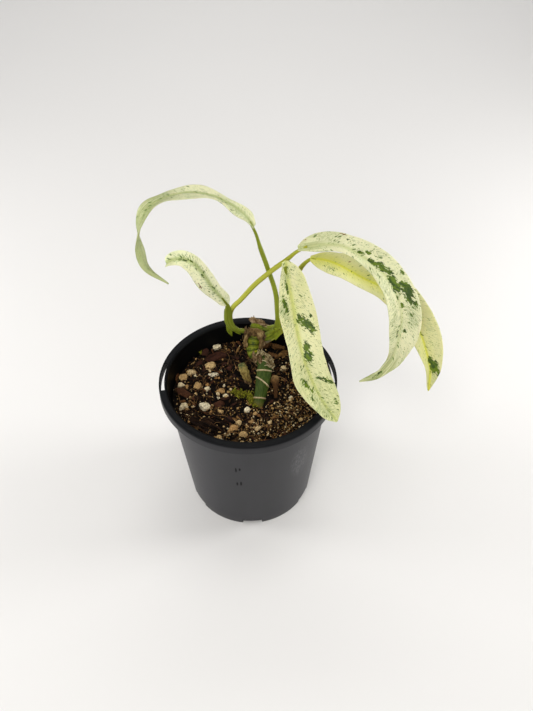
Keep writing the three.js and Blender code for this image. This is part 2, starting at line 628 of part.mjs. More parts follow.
function dressedSoil() {
  let soil = soilSolid();
  const pieces = [];
  for (const [x, y, length, width, height, turn] of PERLITE) {
    pieces.push(grain(x, y, [length, width, height], radians(turn), 0.2, height * SUNK_SHARE));
  }
  for (const [x, y, length, width, height, turn] of BARK) {
    pieces.push(chip(x, y, [length, width, height], radians(turn), 0.15, height * SUNK_SHARE));
  }
  const random = seeded(SCATTER_SEED);
  const reach = soilRadius(SOIL_LEVEL) - EDGE_CLEAR;
  for (let k = 0; k < SCATTER_GRAINS + SCATTER_CHIPS; k += 1) {
    const r = reach * Math.sqrt(random());
    const angle = 2 * Math.PI * random();
    const x = r * Math.cos(angle);
    const y = r * Math.sin(angle);
    const size = spread(random, 3.5, 6.5);
    const flat = spread(random, 0.6, 0.9);
    const turn = Math.PI * random();
    const tilt = spread(random, -0.35, 0.35);
    if (!clearOfStem(x, y)) {
      continue;
    }
    if (k < SCATTER_GRAINS) {
      pieces.push(grain(x, y, [size, size * flat, size * flat], turn, tilt, size * flat * SUNK_SHARE));
    } else {
      pieces.push(chip(x, y, [2 * size, size, 0.7 * size], turn, tilt, 0.7 * size * SUNK_SHARE));
    }
  }
  const envelope = new THREE.CylinderGeometry(
    soilRadius(POT_HEIGHT) - GAP, soilRadius(0) - GAP, POT_HEIGHT, SOIL_SECTORS);
  envelope.rotateX(Math.PI / 2);
  envelope.translate(0, 0, POT_HEIGHT / 2);
  const inside = toSolid(envelope);
  for (const piece of pieces) {
    soil = soil.add(piece.intersect(inside));
  }
  const grow = (rows) => rows.map(([t, a, b]) => [t, (a + GAP) * HOLE_EASE, (b + GAP) * HOLE_EASE]);
  const holes = [
    tube(lengthened(STEM_POINTS.slice(0, 5)), STEM_HOLE, STEM_SIDES, 10, STEM_SIDE),
    tube(lengthened(ROOT_POINTS), grow(ROOT_RADII), 8, 10, STEM_SIDE),
    tube(lengthened(STUB_POINTS), grow(STUB_RADII), 8, 8, STEM_SIDE),
  ];
  for (const hole of holes) {
    soil = soil.subtract(toSolid(hole));
  }
  return soil;
}

function lengthened(points) {
  const [first, second] = points;
  const back = first.map((value, i) => value + (value - second[i]) * 0.1);
  return [back, ...points.slice(1)];
}

// The parts, each with its own material
const group = new THREE.Group();

function place(name, geometry, colour, roughness) {
  const material = new THREE.MeshStandardMaterial({ color: colour, roughness, metalness: 0 });
  const mesh = new THREE.Mesh(geometry, material);
  mesh.name = name;
  group.add(mesh);
}

place("pot", toGeometry(potSolid()), 0x2b2d31, 0.5);
place("soil", toGeometry(dressedSoil()), 0x3a271c, 0.95);
const stemTube = tube(STEM_POINTS, STEM_RADII, STEM_SIDES, STEM_STEPS, STEM_SIDE, stemRipple);
place("stem", toGeometry(toSolid(stemTube)), 0x4d6b26, 0.5);
place("aerial_root", toGeometry(toSolid(tube(ROOT_POINTS, ROOT_RADII, 8, 10, STEM_SIDE))), 0x4a3322, 0.8);
place("petiole_stub", toGeometry(toSolid(tube(STUB_POINTS, STUB_RADII, 8, 8, STEM_SIDE))), 0x7c7048, 0.75);
place("crown_sheath", toGeometry(toSolid(wrap(CROWN_SHEATH))), 0x7a5f43, 0.9);
place("fibre_sheath", toGeometry(toSolid(wrap(FIBRE_SHEATH))), 0xa08a68, 0.9);
place("leaf_1", toGeometry(leafSolid(LEAF_1)), 0xd3dba0, 0.45);
place("leaf_2", toGeometry(leafSolid(LEAF_2)), 0xcdd8a4, 0.45);
place("leaf_3", toGeometry(leafSolid(LEAF_3)), 0xdde39a, 0.45);
place("leaf_4", toGeometry(leafSolid(LEAF_4)), 0xd9e2ae, 0.45);
place("leaf_5", toGeometry(leafSolid(LEAF_5)), 0xdde38c, 0.45);

export default group;
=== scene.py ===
"""Looks of the potted variegated epipremnum giganteum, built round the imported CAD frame.

Shapes are in millimetres until make_mesh turns them into metres. Materials work in metres, and the
blades' material in millimetres along and across the blade. Lights and camera are in metres.
"""

import math
import random

import bmesh
import bpy
import numpy as np
from mathutils import Matrix, Vector, noise


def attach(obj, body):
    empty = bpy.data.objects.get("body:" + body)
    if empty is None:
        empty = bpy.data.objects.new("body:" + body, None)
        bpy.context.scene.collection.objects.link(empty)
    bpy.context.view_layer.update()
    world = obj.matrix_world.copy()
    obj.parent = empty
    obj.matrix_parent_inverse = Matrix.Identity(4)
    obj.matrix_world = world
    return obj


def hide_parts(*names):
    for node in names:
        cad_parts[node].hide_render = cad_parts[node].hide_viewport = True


MM = 0.001
TURN = 2 * math.pi

# Pot, as in the CAD source
POT_HEIGHT = 138.0
RIM_RADIUS = 75.0
BASE_RADIUS = 56.0
NECK_RADIUS = 69.6
WALL = 1.3
FLANGE_INNER = 69.2
SKIRT_DEPTH = 9.0
SKIRT_WALL = 1.3
FLANGE_THICK = 1.4
FLOOR_THICK = 1.6
PAD_RADIUS = 32.0
GROOVE_OUTER = 47.0
GROOVE_RISE = 2.5
GROOVE_SLOPE = 2.0
FOOT_ROUND = 1.5
POT_SEGMENTS = 180
NOTCH_COUNT = 6
NOTCH_WIDTH = 18.0
NOTCH_DEEP = 3.6
# Higher than in the CAD by 1.6, so that the front one shows as in the photo
NOTCH_HEIGHT = 5.2
DRAIN_RADIUS = 3.5
DRAIN_SIDES = 24
SLOT_INNER = 70.3
SLOT_OUTER = 73.3
SLOT_SPANS = ((-8.0, 13.0), (165.0, 190.0))
SHARP_ANGLE = 38
# Nicks on the front wall: x, z and a measure of their height
NICKS = ((-12.4, 94.3, 3.4), (-9.3, 95.6, 2.4), (-11.9, 71.8, 3.0), (-8.7, 73.0, 3.4))

# Soil and its grains
GAP = 0.35
SOIL_SEED = 4
SOIL_LEVEL = 117.0
SOIL_BUMP = 1.1
SOIL_MOUND = 2.2
SOIL_RINGS = 72
SOIL_SECTORS = 240
BARK_COUNT = 400
CHIP_COUNT = 1900
PERLITE_COUNT = 110
CRUMB_COUNT = 4200
FIBRE_COUNT = 300
STRIP_COUNT = 54
LARGE_PERLITE = 27
ANYWHERE_CHANCE = 0.1
# Hollows between the grains, where the near-black bed shows as partly painted shade, and what stands in the
# soil: x, y and radius
HOLLOWS = ((-17.0, -11.5, 5.5), (-5.0, 3.0, 4.0), (-8.0, 22.0, 4.5))
STANDING = ((8.0, -13.0, 5.4), (22.8, -8.5, 3.0), (0.6, 11.0, 4.2))
# Grains seen in the photo: x, y, length, width, depth, turn in degrees and tint
PERLITE = (
    (-37.9, -15.3, 10.5, 9.5, 8, 20, 0.95), (-55.3, -15.1, 8.5, 7, 6, 60, 0.80),
    (-27.8, 56.3, 9.5, 5.5, 5, 10, 0.90), (-30.5, 22.7, 9, 5.5, 5, 0, 1.0),
    (-33.6, 33.1, 9.5, 8, 7, 40, 0.42), (-44.8, 9.8, 8, 7.5, 6, 5, 0.22), (-50.2, 25.2, 8, 6, 5, 10, 0.55),
    (-57.0, 19.4, 8, 7, 6, 80, 0.25), (-58.0, 9.9, 7, 5.5, 5, 0, 0.75), (-35.5, 5.2, 6.5, 4, 4, 30, 0.85),
    (-23.7, 1.4, 7.5, 5, 4, 15, 0.12), (-23.8, -21.4, 6, 4.5, 4, 0, 0.3), (-1.8, -21.6, 5.5, 5, 5, 70, 0.95),
    (1.3, -32.9, 6.5, 4.5, 4, 0, 0.15), (-8.8, -35.3, 6.5, 5, 5, 50, 0.45), (7.0, -39.9, 6, 4.5, 4, 20, 0.5),
    (-14.5, -41.1, 10, 6.5, 5, 25, 0.1), (-5.6, -47.1, 7, 6, 5, 10, 0.3), (-24.8, -48.9, 5.5, 5, 5, 0, 0.35),
    (31.5, 26.7, 8, 6.5, 6, 70, 0.6), (36.1, -7.9, 4.5, 4, 4, 0, 0.9), (42, -31.8, 4.5, 3.5, 3, 0, 0.4),
    (22, 30, 5, 4, 4, 10, 0.5),
)
BARK = (
    (-28.3, 43.0, 22, 15, 9, 12, 0.36), (-38.5, 50.0, 13, 10, 7, -40, 0.30), (-44, 36, 12, 8, 5, 35, 0.33),
    (-56.2, 0.5, 16, 13, 8, -35, 0.47), (-25.3, -13.0, 15, 12, 8, 60, 0.42), (-17, 28, 11, 7, 5, 70, 0.38),
    (-62.0, 21.0, 11, 3, 8, 78, 0.62), (26.4, 53.5, 17, 8, 8, -15, 0.72), (19.0, 56.0, 14, 6, 7, 30, 0.66),
    (32.4, 45.5, 15, 7, 7, 20, 0.78), (22.4, 44.0, 13, 6, 6, -25, 0.68), (13.7, -52.7, 10, 5, 4, 5, 0.52),
    (46, 30, 13, 8, 6, 30, 0.50), (50, 2, 12, 8, 5, 75, 0.45), (37, -47, 12, 6, 5, 35, 0.40),
    (-16.8, -30, 13, 8, 5, -25, 0.20), (4, 50, 12, 7, 5, 10, 0.45),
)

# Stem, root and stub: points along, then [t, half width, half depth]
STEM_POINTS = [[6, -17.5, 100], [7.8, -13.5, 116.5], [11.5, -1.5, 126], [13.8, 8.5, 132.7],
               [14.2, 15.5, 137.5], [9, 21, 139.5], [5.6, 25.5, 141.5], [5.6, 31, 148.5], [8, 36.5, 155],
               [9.8, 42, 161.5]]
STEM_RADII = [[0, 4, 4], [0.18, 4.6, 4.6], [0.3, 5.4, 5.3], [0.45, 6.4, 6.2], [0.57, 6, 5.8],
              [0.65, 4.8, 4.6], [0.72, 5.6, 5.4], [0.85, 5.8, 5.6], [0.95, 5.7, 5.3], [1, 4.6, 4.4]]
STEM_SIDE = (1, 0, 0)
ROOT_POINTS = [[22.7, 7, 131], [23, 2.5, 127.5], [23.2, -3, 122], [23, -8, 114], [22, -9, 103]]
ROOT_RADII = [[0, 1.8, 1.5], [0.12, 3, 2.7], [0.3, 1.9, 1.8], [1, 1.4, 1.4]]
STUB_POINTS = [[2, 10, 106], [0.5, 11, 118], [-3, 13.5, 130], [-5.5, 16, 137.5]]
STUB_RADII = [[0, 2, 1.8], [0.4, 3, 2.4], [0.85, 3.7, 2.2], [1, 2.8, 1.4]]
# Vertices round and steps along
STEM_MESH, ROOT_MESH, STUB_MESH, STALK_MESH = (56, 260), (24, 70), (32, 80), (40, 150)
# Old leaf scars round the stem: place along, slant and strength
STEM_RINGS = ((0.248, 0.006, 0.9), (0.395, -0.036, 1.0), (0.497, 0.004, 1.0), (0.575, 0.006, 0.6),
              (0.705, 0.004, 0.8), (0.752, 0.0, 1.0), (0.80, 0.004, 0.5), (0.955, 0.0, 0.9))
# Cords of dried fibre round the stem: place, slant, first and last angle, half thickness
CORDS = ((0.395, -0.036, -175, -5, 0.42), (0.497, 0.004, -175, -5, 0.42),
         (0.248, 0.006, -175, -5, 0.3), (0.575, -0.05, -110, 10, 0.5))
SHEATH_SEED = 9
NET_COUNT = 52
SHEET_THICK = 0.35
SHEET_ROWS = 26
SHEET_COLUMNS = 60

# Papery lumps on the cut end: half lengths, place across, deep and along, and seed; spikes: ends and width
CAP_LUMPS = (((7.2, 3.4, 2.0), (-0.8, -1.2, 0.4), 3.0), ((4.4, 3.0, 1.6), (2.6, -2.6, -0.6), 5.0),
             ((3.2, 2.4, 1.8), (-4.2, -0.4, 1.4), 8.0))
CAP_SPIKES = (((-3.6, 0, 2), (-4.4, 0.6, 5.2), 1.0), ((5, -1, -1.5), (11.5, -0.5, -1.0), 0.7),
              ((5, -2, -2), (9, -3, -3.2), 0.8))
# Dried flakes: count, from and to along, angles on the stem, half widths, lengths and reach
STEM_FLAKES = ((16, 0.60, 0.69, -215, -100, (0.9, 2.0), (3.5, 7.5)),
               (10, 0.83, 0.93, -200, -165, (1.0, 1.8), (3, 6), 1.5),
               (10, 0.76, 0.90, -20, 20, (1.0, 2.0), (3, 7), 1.4))
STALK_FLAKES = ((12, "leaf_2", 0.02, 0.14, (0.8, 1.8), (2.5, 5)),
                (10, "leaf_4", 0.01, 0.08, (0.8, 1.8), (2.5, 5)),
                (14, "leaf_1", 0.0, 0.06, (1.0, 2.2), (3, 6.5)),
                (10, "leaf_5", 0.02, 0.10, (1.0, 2.2), (3, 6)))
STUB_FLAKES = 8

# Green flaps at the stalk bases: path, [t, half width, half depth], way across
FLAT, STEEP = (1, 0, 0.2), (0.3, 0.2, 1)
FLAPS = (
    ([[-15.2, 37.6, 163], [-14.4, 36.6, 156.5], [-12.6, 35.6, 151.6]],
     [[0, 2.2, 0.7], [0.5, 2.4, 0.6], [1, 0.3, 0.25]], FLAT),
    ([[-11.5, 36.2, 161], [-8.6, 35.2, 157.2], [-5.2, 34.6, 154.4]],
     [[0, 2.0, 0.7], [0.5, 1.5, 0.6], [1, 0.3, 0.25]], STEEP),
    ([[26.6, 37.5, 158], [26, 36, 151.6], [24.8, 34.6, 146.4]],
     [[0, 2.6, 0.8], [0.5, 2.7, 0.7], [1, 0.35, 0.25]], FLAT),
    ([[23.8, 36.6, 156], [19.6, 35, 152.6], [15.6, 34, 149.6]],
     [[0, 2.2, 0.7], [0.5, 1.4, 0.6], [1, 0.3, 0.25]], STEEP),
)
# Tufts of moss: x, y, spread and count; and the stem's foot, which they leave clear
MOSS_SEED = 12
TUFTS = ((-7, -4, 5, 150), (0, -6, 4.5, 130), (3, -12, 4, 110), (-12, -2, 3.5, 60), (5, -17, 3, 50),
         (-42, 50, 1.6, 26), (3.2, -10.5, 2.4, 70))
MOSS_CLEAR = (8.0, -13.0, 4.8)

# Leaf mesh
BLADE_THICK = 0.8
BLADE_STATIONS = 130
BLADE_CELLS = 14
CELL_SPREAD = 1.15
RIB_BASE, RIB_TIP = 1.3, 0.3
UV_SPAN = 200.0
GLOW_DEPTH = 0.001

# Leaves: points along stalk and midrib, stalk radii [t, half width, half depth], stalk side and blade
# across [t, x, y, z], half widths [t, right, left]. The face points up or down, the fold is in degrees,
# and the margins' waves have a height, a count, a phase and a shift for the left side.
LEAVES = {
    "leaf_1": dict(
        petiole=[[8.5, 36, 153.5], [14.5, 37, 148.5], [21, 40, 148], [25.5, 40.2, 153], [27.4, 41, 161.6],
            [26.8, 42, 173.5], [25.7, 43, 188], [23.8, 44.5, 198], [20.9, 46, 208], [16.3, 46.5, 224.5],
            [12.8, 46, 237], [9.5, 45, 251], [5, 44, 263]],
        petiole_radii=[[0, 2.6, 2.4], [0.06, 3.4, 2.6], [0.13, 4, 3], [0.22, 3.2, 2.6], [0.42, 2.3, 2.1],
            [0.78, 2, 1.9], [0.83, 1.6, 1.5], [1, 1.2, 1]],
        petiole_side=[[0, 0.4, -0.5, -0.8], [0.2, 0.6, -0.8, -0.3], [1, 0.6, -0.8, 0]],
        midrib=[[8, 44, 258], [0, 43, 271], [-10, 41, 281], [-22, 38, 290], [-38, 35, 295], [-50, 32, 295],
            [-60, 28, 293], [-67, 25, 289], [-72, 22, 283], [-76, 18, 273], [-77, 15, 261], [-73, 12, 246],
            [-58, 10, 232]],
        across=[[0, 0.5, 0.85, 0.1], [0.12, 0.3, 0.93, -0.05], [0.3, 0, 0.99, -0.15],
            [0.5, -0.1, 0.97, -0.15], [0.6, -0.35, 0.9, -0.2], [0.69, -0.15, 0.83, -0.5],
            [0.78, 0.35, 0.85, -0.35], [0.88, 0.55, 0.8, -0.28], [1, 0.5, 0.8, -0.1]],
        half_widths=[[0, 3.2, 2], [0.05, 6, 3.4], [0.1, 5.6, 6], [0.16, 5.8, 9], [0.22, 8, 10.5],
            [0.3, 10.4, 10.5], [0.4, 8.2, 12], [0.5, 10, 9.4], [0.58, 11, 11], [0.66, 8.6, 10.5],
            [0.74, 7.6, 5.4], [0.82, 6.4, 3.6], [0.92, 3.6, 2.2], [1, 0.5, 0.5]],
        face=-1, fold=8, wave=1.2, waves=3.5, phase=0, shift=1.8),
    "leaf_2": dict(
        petiole=[[8, 36.5, 156.5], [0.5, 36.5, 156], [-6, 37, 156], [-11.5, 36, 160.5], [-14.8, 34.7, 170],
            [-15, 33.5, 181], [-15, 32.4, 189], [-19, 31.5, 199]],
        petiole_radii=[[0, 2.4, 1.6], [0.2, 3.2, 1.4], [0.42, 3.5, 1.2], [0.68, 3.2, 1.2], [0.82, 2.2, 1.1],
            [0.88, 1.6, 1.1], [1, 1.2, 0.9]],
        petiole_side=[[0, 0.2, -0.5, 0.8], [0.2, 0.3, -0.5, 0.8], [0.42, 1, -0.2, 0.5], [0.6, 1, -0.2, 0.2],
            [1, 1, -0.1, 0.1]],
        midrib=[[-15, 32, 191], [-21, 31, 202], [-26, 30, 211], [-33, 28, 227], [-39, 25, 239],
            [-46, 22, 246], [-52, 18, 249], [-56, 16.5, 248.5], [-58.3, 16.5, 246.3], [-57.5, 18.5, 243.5]],
        across=[[0, 0.8, 0.1, 0.6], [0.28, 0.75, 0.1, 0.6], [0.56, 0.6, 0.45, 0.6], [0.8, 0.3, 0.7, 0.6],
            [0.9, 0, 0.8, 0.6], [1, 0, 0.8, 0.6]],
        half_widths=[[0, 1.6, 2.2], [0.05, 4.6, 5], [0.11, 6.8, 5.9], [0.18, 6.7, 7], [0.28, 6.1, 8.2],
            [0.42, 6.3, 9.3], [0.56, 5.8, 9], [0.68, 6, 8], [0.78, 6.2, 6.6], [0.86, 6, 5.2],
            [0.91, 4.8, 4.4], [0.955, 3, 3], [1, 0.6, 0.6]],
        face=-1, fold=13, wave=0.7, waves=2, phase=0.6, shift=2),
    "leaf_3": dict(
        petiole=[[7.5, 38.5, 154.5], [11, 45.5, 150.5], [18.5, 48.8, 147.5], [29, 49.5, 150], [35, 49, 161],
            [36.8, 47.5, 172], [36.5, 45, 185], [35, 38, 203], [32.5, 32, 218], [31.5, 32, 228],
            [32.5, 31.5, 226]],
        petiole_radii=[[0, 2.4, 2.2], [0.15, 2.7, 2.2], [0.35, 2.4, 2.1], [0.8, 2, 1.9], [0.92, 1.7, 1.6],
            [1, 1.4, 1.2]],
        petiole_side=[0.7, -0.7, 0],
        midrib=[[32, 34, 232], [34, 29.5, 217], [38, 20, 197], [41, 7, 181], [45, -9, 168], [50, -22, 158],
            [55, -33, 152], [61, -43, 146], [69, -54, 140]],
        across=[[0, 0.9, 0.35, 0.1], [0.3, 0.95, 0.2, 0.15], [0.7, 0.95, 0.25, 0.1], [1, 0.9, 0.3, 0.1]],
        half_widths=[[0, 3, 3.2], [0.04, 8.5, 4.2], [0.1, 12.6, 6.4], [0.2, 15.1, 10.4], [0.31, 16.9, 12.6],
            [0.42, 17.3, 11.4], [0.52, 16.8, 10.9], [0.62, 16, 12.8], [0.72, 14.9, 14.9], [0.81, 14.7, 12.4],
            [0.9, 12.4, 9.2], [0.96, 7.6, 6.6], [1, 0.8, 0.8]],
        face=1, fold=14, wave=1, waves=3, phase=0.4, shift=2.4),
    "leaf_4": dict(
        petiole=[[7, 37.5, 154], [0, 43.5, 149.5], [-7, 44, 150.5], [-12, 42, 158.5], [-13.5, 40, 170],
            [-12.4, 37.5, 179], [-9.9, 36, 185.5], [-4.5, 35.5, 192], [1.5, 35.5, 200], [8, 36.5, 207.5],
            [16, 38, 214.5], [24.5, 40.5, 220.5], [33.5, 43, 226.2], [41, 40, 236.2], [49, 36, 244]],
        petiole_radii=[[0, 2.4, 2.2], [0.15, 2.6, 2], [0.35, 2.3, 2], [0.82, 2, 2], [0.88, 1.6, 1.6],
            [1, 1.3, 1.1]],
        petiole_side=[0.2, -1, 0.1],
        midrib=[[42, 38, 241], [53, 35, 245], [63, 32, 248], [73, 29, 249], [84, 26, 245], [95, 22, 239],
            [103, 18, 234], [110, 13, 227], [116, 8, 218], [119, 3, 211], [121, -3, 202], [120, -9, 189],
            [118, -13, 181], [115, -16, 171], [110, -18, 163], [103, -20, 155], [90, -22, 151]],
        across=[[0, -0.3, 0.8, 0.4], [0.2, 0.1, 0.85, 0.4], [0.4, 0.6, 0.75, 0.3], [0.55, 0.85, 0.5, 0.2],
            [0.7, 0.95, 0.2, 0], [0.85, 0.7, -0.2, -0.5], [1, 0.4, -0.5, -0.7]],
        half_widths=[[0, 2, 2], [0.04, 6.5, 3.5], [0.1, 10, 5.5], [0.2, 11, 6.5], [0.33, 13.3, 7],
            [0.45, 15.6, 11], [0.6, 15.3, 11.6], [0.7, 15.2, 9.5], [0.8, 9.5, 4.5], [0.88, 4.5, 2.4],
            [0.94, 2.4, 2.8], [1, 0.5, 0.6]],
        face=1, fold=12, wave=1.1, waves=3.5, phase=1, shift=2.2),
    "leaf_5": dict(
        petiole=[[6.5, 28.5, 145.5], [12.5, 36.5, 140.5], [20.5, 45.5, 137.5], [30, 52, 140],
            [37.5, 54.5, 150], [40.8, 54, 167], [41.5, 53, 190], [45, 50.5, 210], [53, 46.5, 223.5],
            [60, 45.5, 223]],
        petiole_radii=[[0, 2.4, 2], [0.17, 2.6, 2.2], [0.35, 2.4, 2.1], [0.86, 2, 1.9], [0.91, 1.6, 1.5],
            [1, 1.2, 1]],
        petiole_side=[0.7, -0.7, 0],
        midrib=[[53, 46, 225], [66, 45, 223], [77, 43, 219], [89, 41, 212], [100, 38, 207], [113, 35, 201],
            [128.5, 30, 190], [138.5, 22, 177], [145.5, 14, 165], [149.5, 9, 155], [154.5, 2, 138],
            [155, -5, 118]],
        across=[[0, 0.1, 0.8, 0.5], [0.3, 0.45, 0.8, 0.5], [0.55, 0.75, 0.6, 0.3], [0.8, 0.95, 0.3, 0],
            [1, 0.95, 0.1, 0.1]],
        half_widths=[[0, 2, 2.4], [0.04, 5, 8], [0.1, 8.5, 11.2], [0.2, 13, 10], [0.35, 16.5, 9.5],
            [0.5, 16.2, 13.5], [0.65, 16.2, 11.8], [0.78, 15.2, 7.6], [0.88, 9.8, 4.4], [0.96, 3.4, 2.2],
            [1, 0.5, 0.5]],
        face=1, fold=12, wave=1, waves=3, phase=2, shift=2.6),
}

# Marks on the blades: along, across, half length, half width, turn in radians and strength
MARKS = {
    "leaf_1": dict(
        green=((71, 5.5, 8, 2, 0, 0.7), (20, -3, 18, 4, 0, 0.5), (100, 3, 22, 5, 0, 0.5),
            (50, 0, 30, 1.6, 0, 0.4)),
        grey=((22, 0, 16, 6, 0, 0.9), (50, -1, 20, 3, 0, 0.9), (96, -1, 20, 5, 0, 1.1),
            (132, -1, 30, 5, 0, 1.1)),
        blotch=((96, -1, 8, 1.0, 0, 0.6), (104, -3, 6, 1.1, 0, 0.6), (33, -2.2, 1.6, 0.9, 0, 0.8),
            (29, -6.9, 1.6, 0.9, 0, 0.8))),
    "leaf_2": dict(
        green=((45, -1, 26, 3, 0, 0.8), (48, -6.3, 4, 2, 0, 0.8), (25, -3, 8, 2, 0, 0.8),
            (62, 2, 12, 4, 0, 0.7)),
        grey=((40, 0, 40, 2.2, 0, 0.5),),
        blotch=((65, -0.7, 5, 1.2, 0, 0.7), (58, 0.6, 2.6, 0.8, 0, 0.6), (49, -1.9, 2, 0.9, 0, 0.6),
            (39, -1.2, 3.4, 0.9, 0, 0.65), (23, 0.4, 2, 0.8, 0, 0.6)),
        brown=((33, -7.2, 6, 0.8, 0, 0.7),)),
    "leaf_3": dict(
        green=((12, 3, 9, 5, 0, 0.9), (34, 7, 8, 5, 0, 0.8), (52, -6, 28, 3, 0, 0.7),
            (115, 0, 22, 9, 0, 1.1), (62, 9, 20, 4, 0, 0.35)),
        grey=((127, -3, 7, 4.5, 0, 1.0), (40, -8, 15, 4, 0, 1.1), (12, -3, 10, 4, 0, 0.7)),
        blotch=((22, -2.2, 7, 1.2, 0, 0.75), (35, -6.2, 7, 1.9, 0.1, 0.95), (49, 3.7, 4, 2.6, 0, 0.9),
            (53, 7.5, 4.5, 3.2, 0.3, 1.0), (58, 11.3, 5.5, 2.6, 0.2, 1.0), (48, 12.3, 2, 1.2, 0, 0.8),
            (73, 4.8, 4.5, 2.4, 0, 0.85), (80, 3.8, 6, 3, 0, 1.05), (101, -6.3, 4, 2, 0.2, 0.95),
            (108, -3.8, 2, 1, 0, 0.8), (114, -6.9, 2.4, 1.3, 0, 0.8), (104, 9, 7, 1.7, 0.65, 0.9),
            (125, 8.9, 3, 1.2, 0, 0.75))),
    "leaf_4": dict(
        green=((24, 7, 9, 3.5, 0, 1.1), (42, 7, 12, 3, 0, 0.9), (60, 10, 10, 3, 0, 0.8),
            (86, 12.5, 14, 3, 0, 0.9), (112, 9, 14, 4, 0, 0.9), (122, 3, 10, 5, 0, 0.6),
            (70, -6, 34, 4, 0, 0.35)),
        grey=((112, 8, 7, 3, 0, 0.9), (117, 12, 5, 2, 0, 0.8), (100, -6, 34, 4, 0, 0.75)),
        blotch=((50, 1.8, 3, 1.3, 0, 0.9), (55, 5.5, 2.2, 1.5, 0, 0.85), (38, 6.4, 1.6, 1, 0, 0.75),
            (62, 1.0, 3.6, 1.8, 0, 1.05), (69, 2.4, 4.8, 2.6, 0.1, 1.15), (76, 4.8, 3.6, 2.2, 0.3, 0.95),
            (82, 3.2, 4.4, 2.9, 0, 1.15), (88, 3.0, 5, 3.2, 0, 1.2), (90, 8.6, 3.6, 2.2, 0, 1.0),
            (95, 9.4, 4.6, 3.2, 0, 1.2), (99, 8.4, 3.4, 2.4, 0, 1.05), (82, 13.2, 2, 1.4, 0, 0.9),
            (103, 8.8, 2, 1.6, 0, 0.8), (103, 2.2, 2, 1.4, 0, 0.8), (104, 12.1, 2.6, 1.6, 0, 0.85),
            (96, 0.2, 2.4, 0.9, 0, 0.8), (122, 3.3, 1.8, 1.3, 0, 0.85), (126, -2.2, 4, 0.7, 0, 0.8),
            (164, -0.2, 6, 0.9, 0, 0.7)),
        brown=((34, 9.7, 4, 0.8, 0, 0.75), (6, 5.3, 3, 0.7, 0, 0.7))),
    "leaf_5": dict(
        green=((19, -6, 8, 3, 0, 1.1), (52, 1, 12, 3, 0, 0.5), (140, 2, 24, 6, 0, 0.5)),
        grey=((117, 8.6, 8, 3, 0, 0.8), (159, 4.2, 5, 2, 0, 0.9)),
        blotch=((19, -6, 5, 1.4, 0.3, 0.62), (143, 1.6, 4, 2, 0, 1.1), (150, 3.6, 5.4, 3.1, 0.1, 1.2),
            (155, 6.2, 4, 1.8, 0.2, 0.9)),
        brown=((31, 6.2, 2.6, 0.8, 0.3, 0.7),)),
}


# Curves through points, the same rule as in the CAD source
def through(keys, rows, t):
    last = len(keys) - 1
    i = 0
    while i < last - 1 and t >= keys[i + 1]:
        i += 1
    h = keys[i + 1] - keys[i]
    u = min(max((t - keys[i]) / h, 0), 1)

    def slope(k):
        a = max(k - 1, 0)
        b = min(k + 1, last)
        return (rows[b] - rows[a]) / (keys[b] - keys[a])

    return ((1 + 2 * u) * (1 - u) ** 2 * rows[i] + u * (1 - u) ** 2 * h * slope(i)
            + u * u * (3 - 2 * u) * rows[i + 1] + u * u * (u - 1) * h * slope(i + 1))


class Curve:
    def __init__(self, points):
        self.points = np.array(points, float)
        lengths = np.linalg.norm(np.diff(self.points, axis=0), axis=1)
        self.length = float(lengths.sum())
        self.keys = np.concatenate([[0], np.cumsum(lengths)]) / self.length

    def at(self, t):
        return through(self.keys, self.points, t)

    def along(self, t, step=0.001):
        way = self.at(min(t + step, 1)) - self.at(max(t - step, 0))
        return way / np.linalg.norm(way)


STEM = Curve(STEM_POINTS)


def table(rows, t):
    rows = np.array(rows, float)
    return through(rows[:, 0], rows[:, 1:], t)


def square_to(lean, along):
    lean = lean - along * lean.dot(along)
    return lean / np.linalg.norm(lean)


def polar(radius, angle, z):
    return radius * math.cos(angle), radius * math.sin(angle), z


def rumple(x, y, z):
    return noise.noise(Vector((x, y, z)))


def bark_noise(angle, t, around, along):
    """Noise over a tube's skin, with no seam."""
    return rumple(around * math.cos(angle), around * math.sin(angle), t * along)


def hump(value, width):
    return math.exp(-(value / width) ** 2)


def limited(value):
    return min(1.0, max(0.0, value))


# Meshes
def make_mesh(name, points, faces, uv=None, values=None, smooth=True):
    mesh = bpy.data.meshes.new(name)
    points = np.asarray(points, float) * MM
    mesh.from_pydata(points.tolist(), [], [list(map(int, f)) for f in faces])
    if uv is not None:
        layer = mesh.uv_layers.new(name="UVMap")
        index = np.empty(len(mesh.loops), np.int32)
        mesh.loops.foreach_get("vertex_index", index)
        layer.data.foreach_set("uv", np.asarray(uv, np.float32)[index].ravel())
    for key, data in (values or {}).items():
        attribute = mesh.attributes.new(key, "FLOAT", "POINT")
        attribute.data.foreach_set("value", np.asarray(data, np.float32))
    if smooth:
        mesh.polygons.foreach_set("use_smooth", np.ones(len(mesh.polygons), bool))
    mesh.update()
    obj = bpy.data.objects.new(name, mesh)
    bpy.context.scene.collection.objects.link(obj)
    return obj


def finish_piece(obj, material, replaces=()):
    obj.data.materials.clear()
    obj.data.materials.append(material)
    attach(obj, "root")
    if replaces:
        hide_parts(*replaces)


def band(a, b, count):
    """Quads between two closed rings of vertices that start at a and b."""
    return [(a + k, a + (k + 1) % count, b + (k + 1) % count, b + k) for k in range(count)]


def shell(bottom, rows, top):
    """Closed surface from a point through rings of points to a last point."""
    count = len(rows[0])
    points = [bottom]
    faces = [(0, 1 + (k + 1) % count, 1 + k) for k in range(count)]
    for i, row in enumerate(rows):
        if i:
            faces += band(len(points) - count, len(points), count)
        points += row
    last = len(points)
    faces += [(last - count + k, last - count + (k + 1) % count, last) for k in range(count)]
    return points + [top], faces


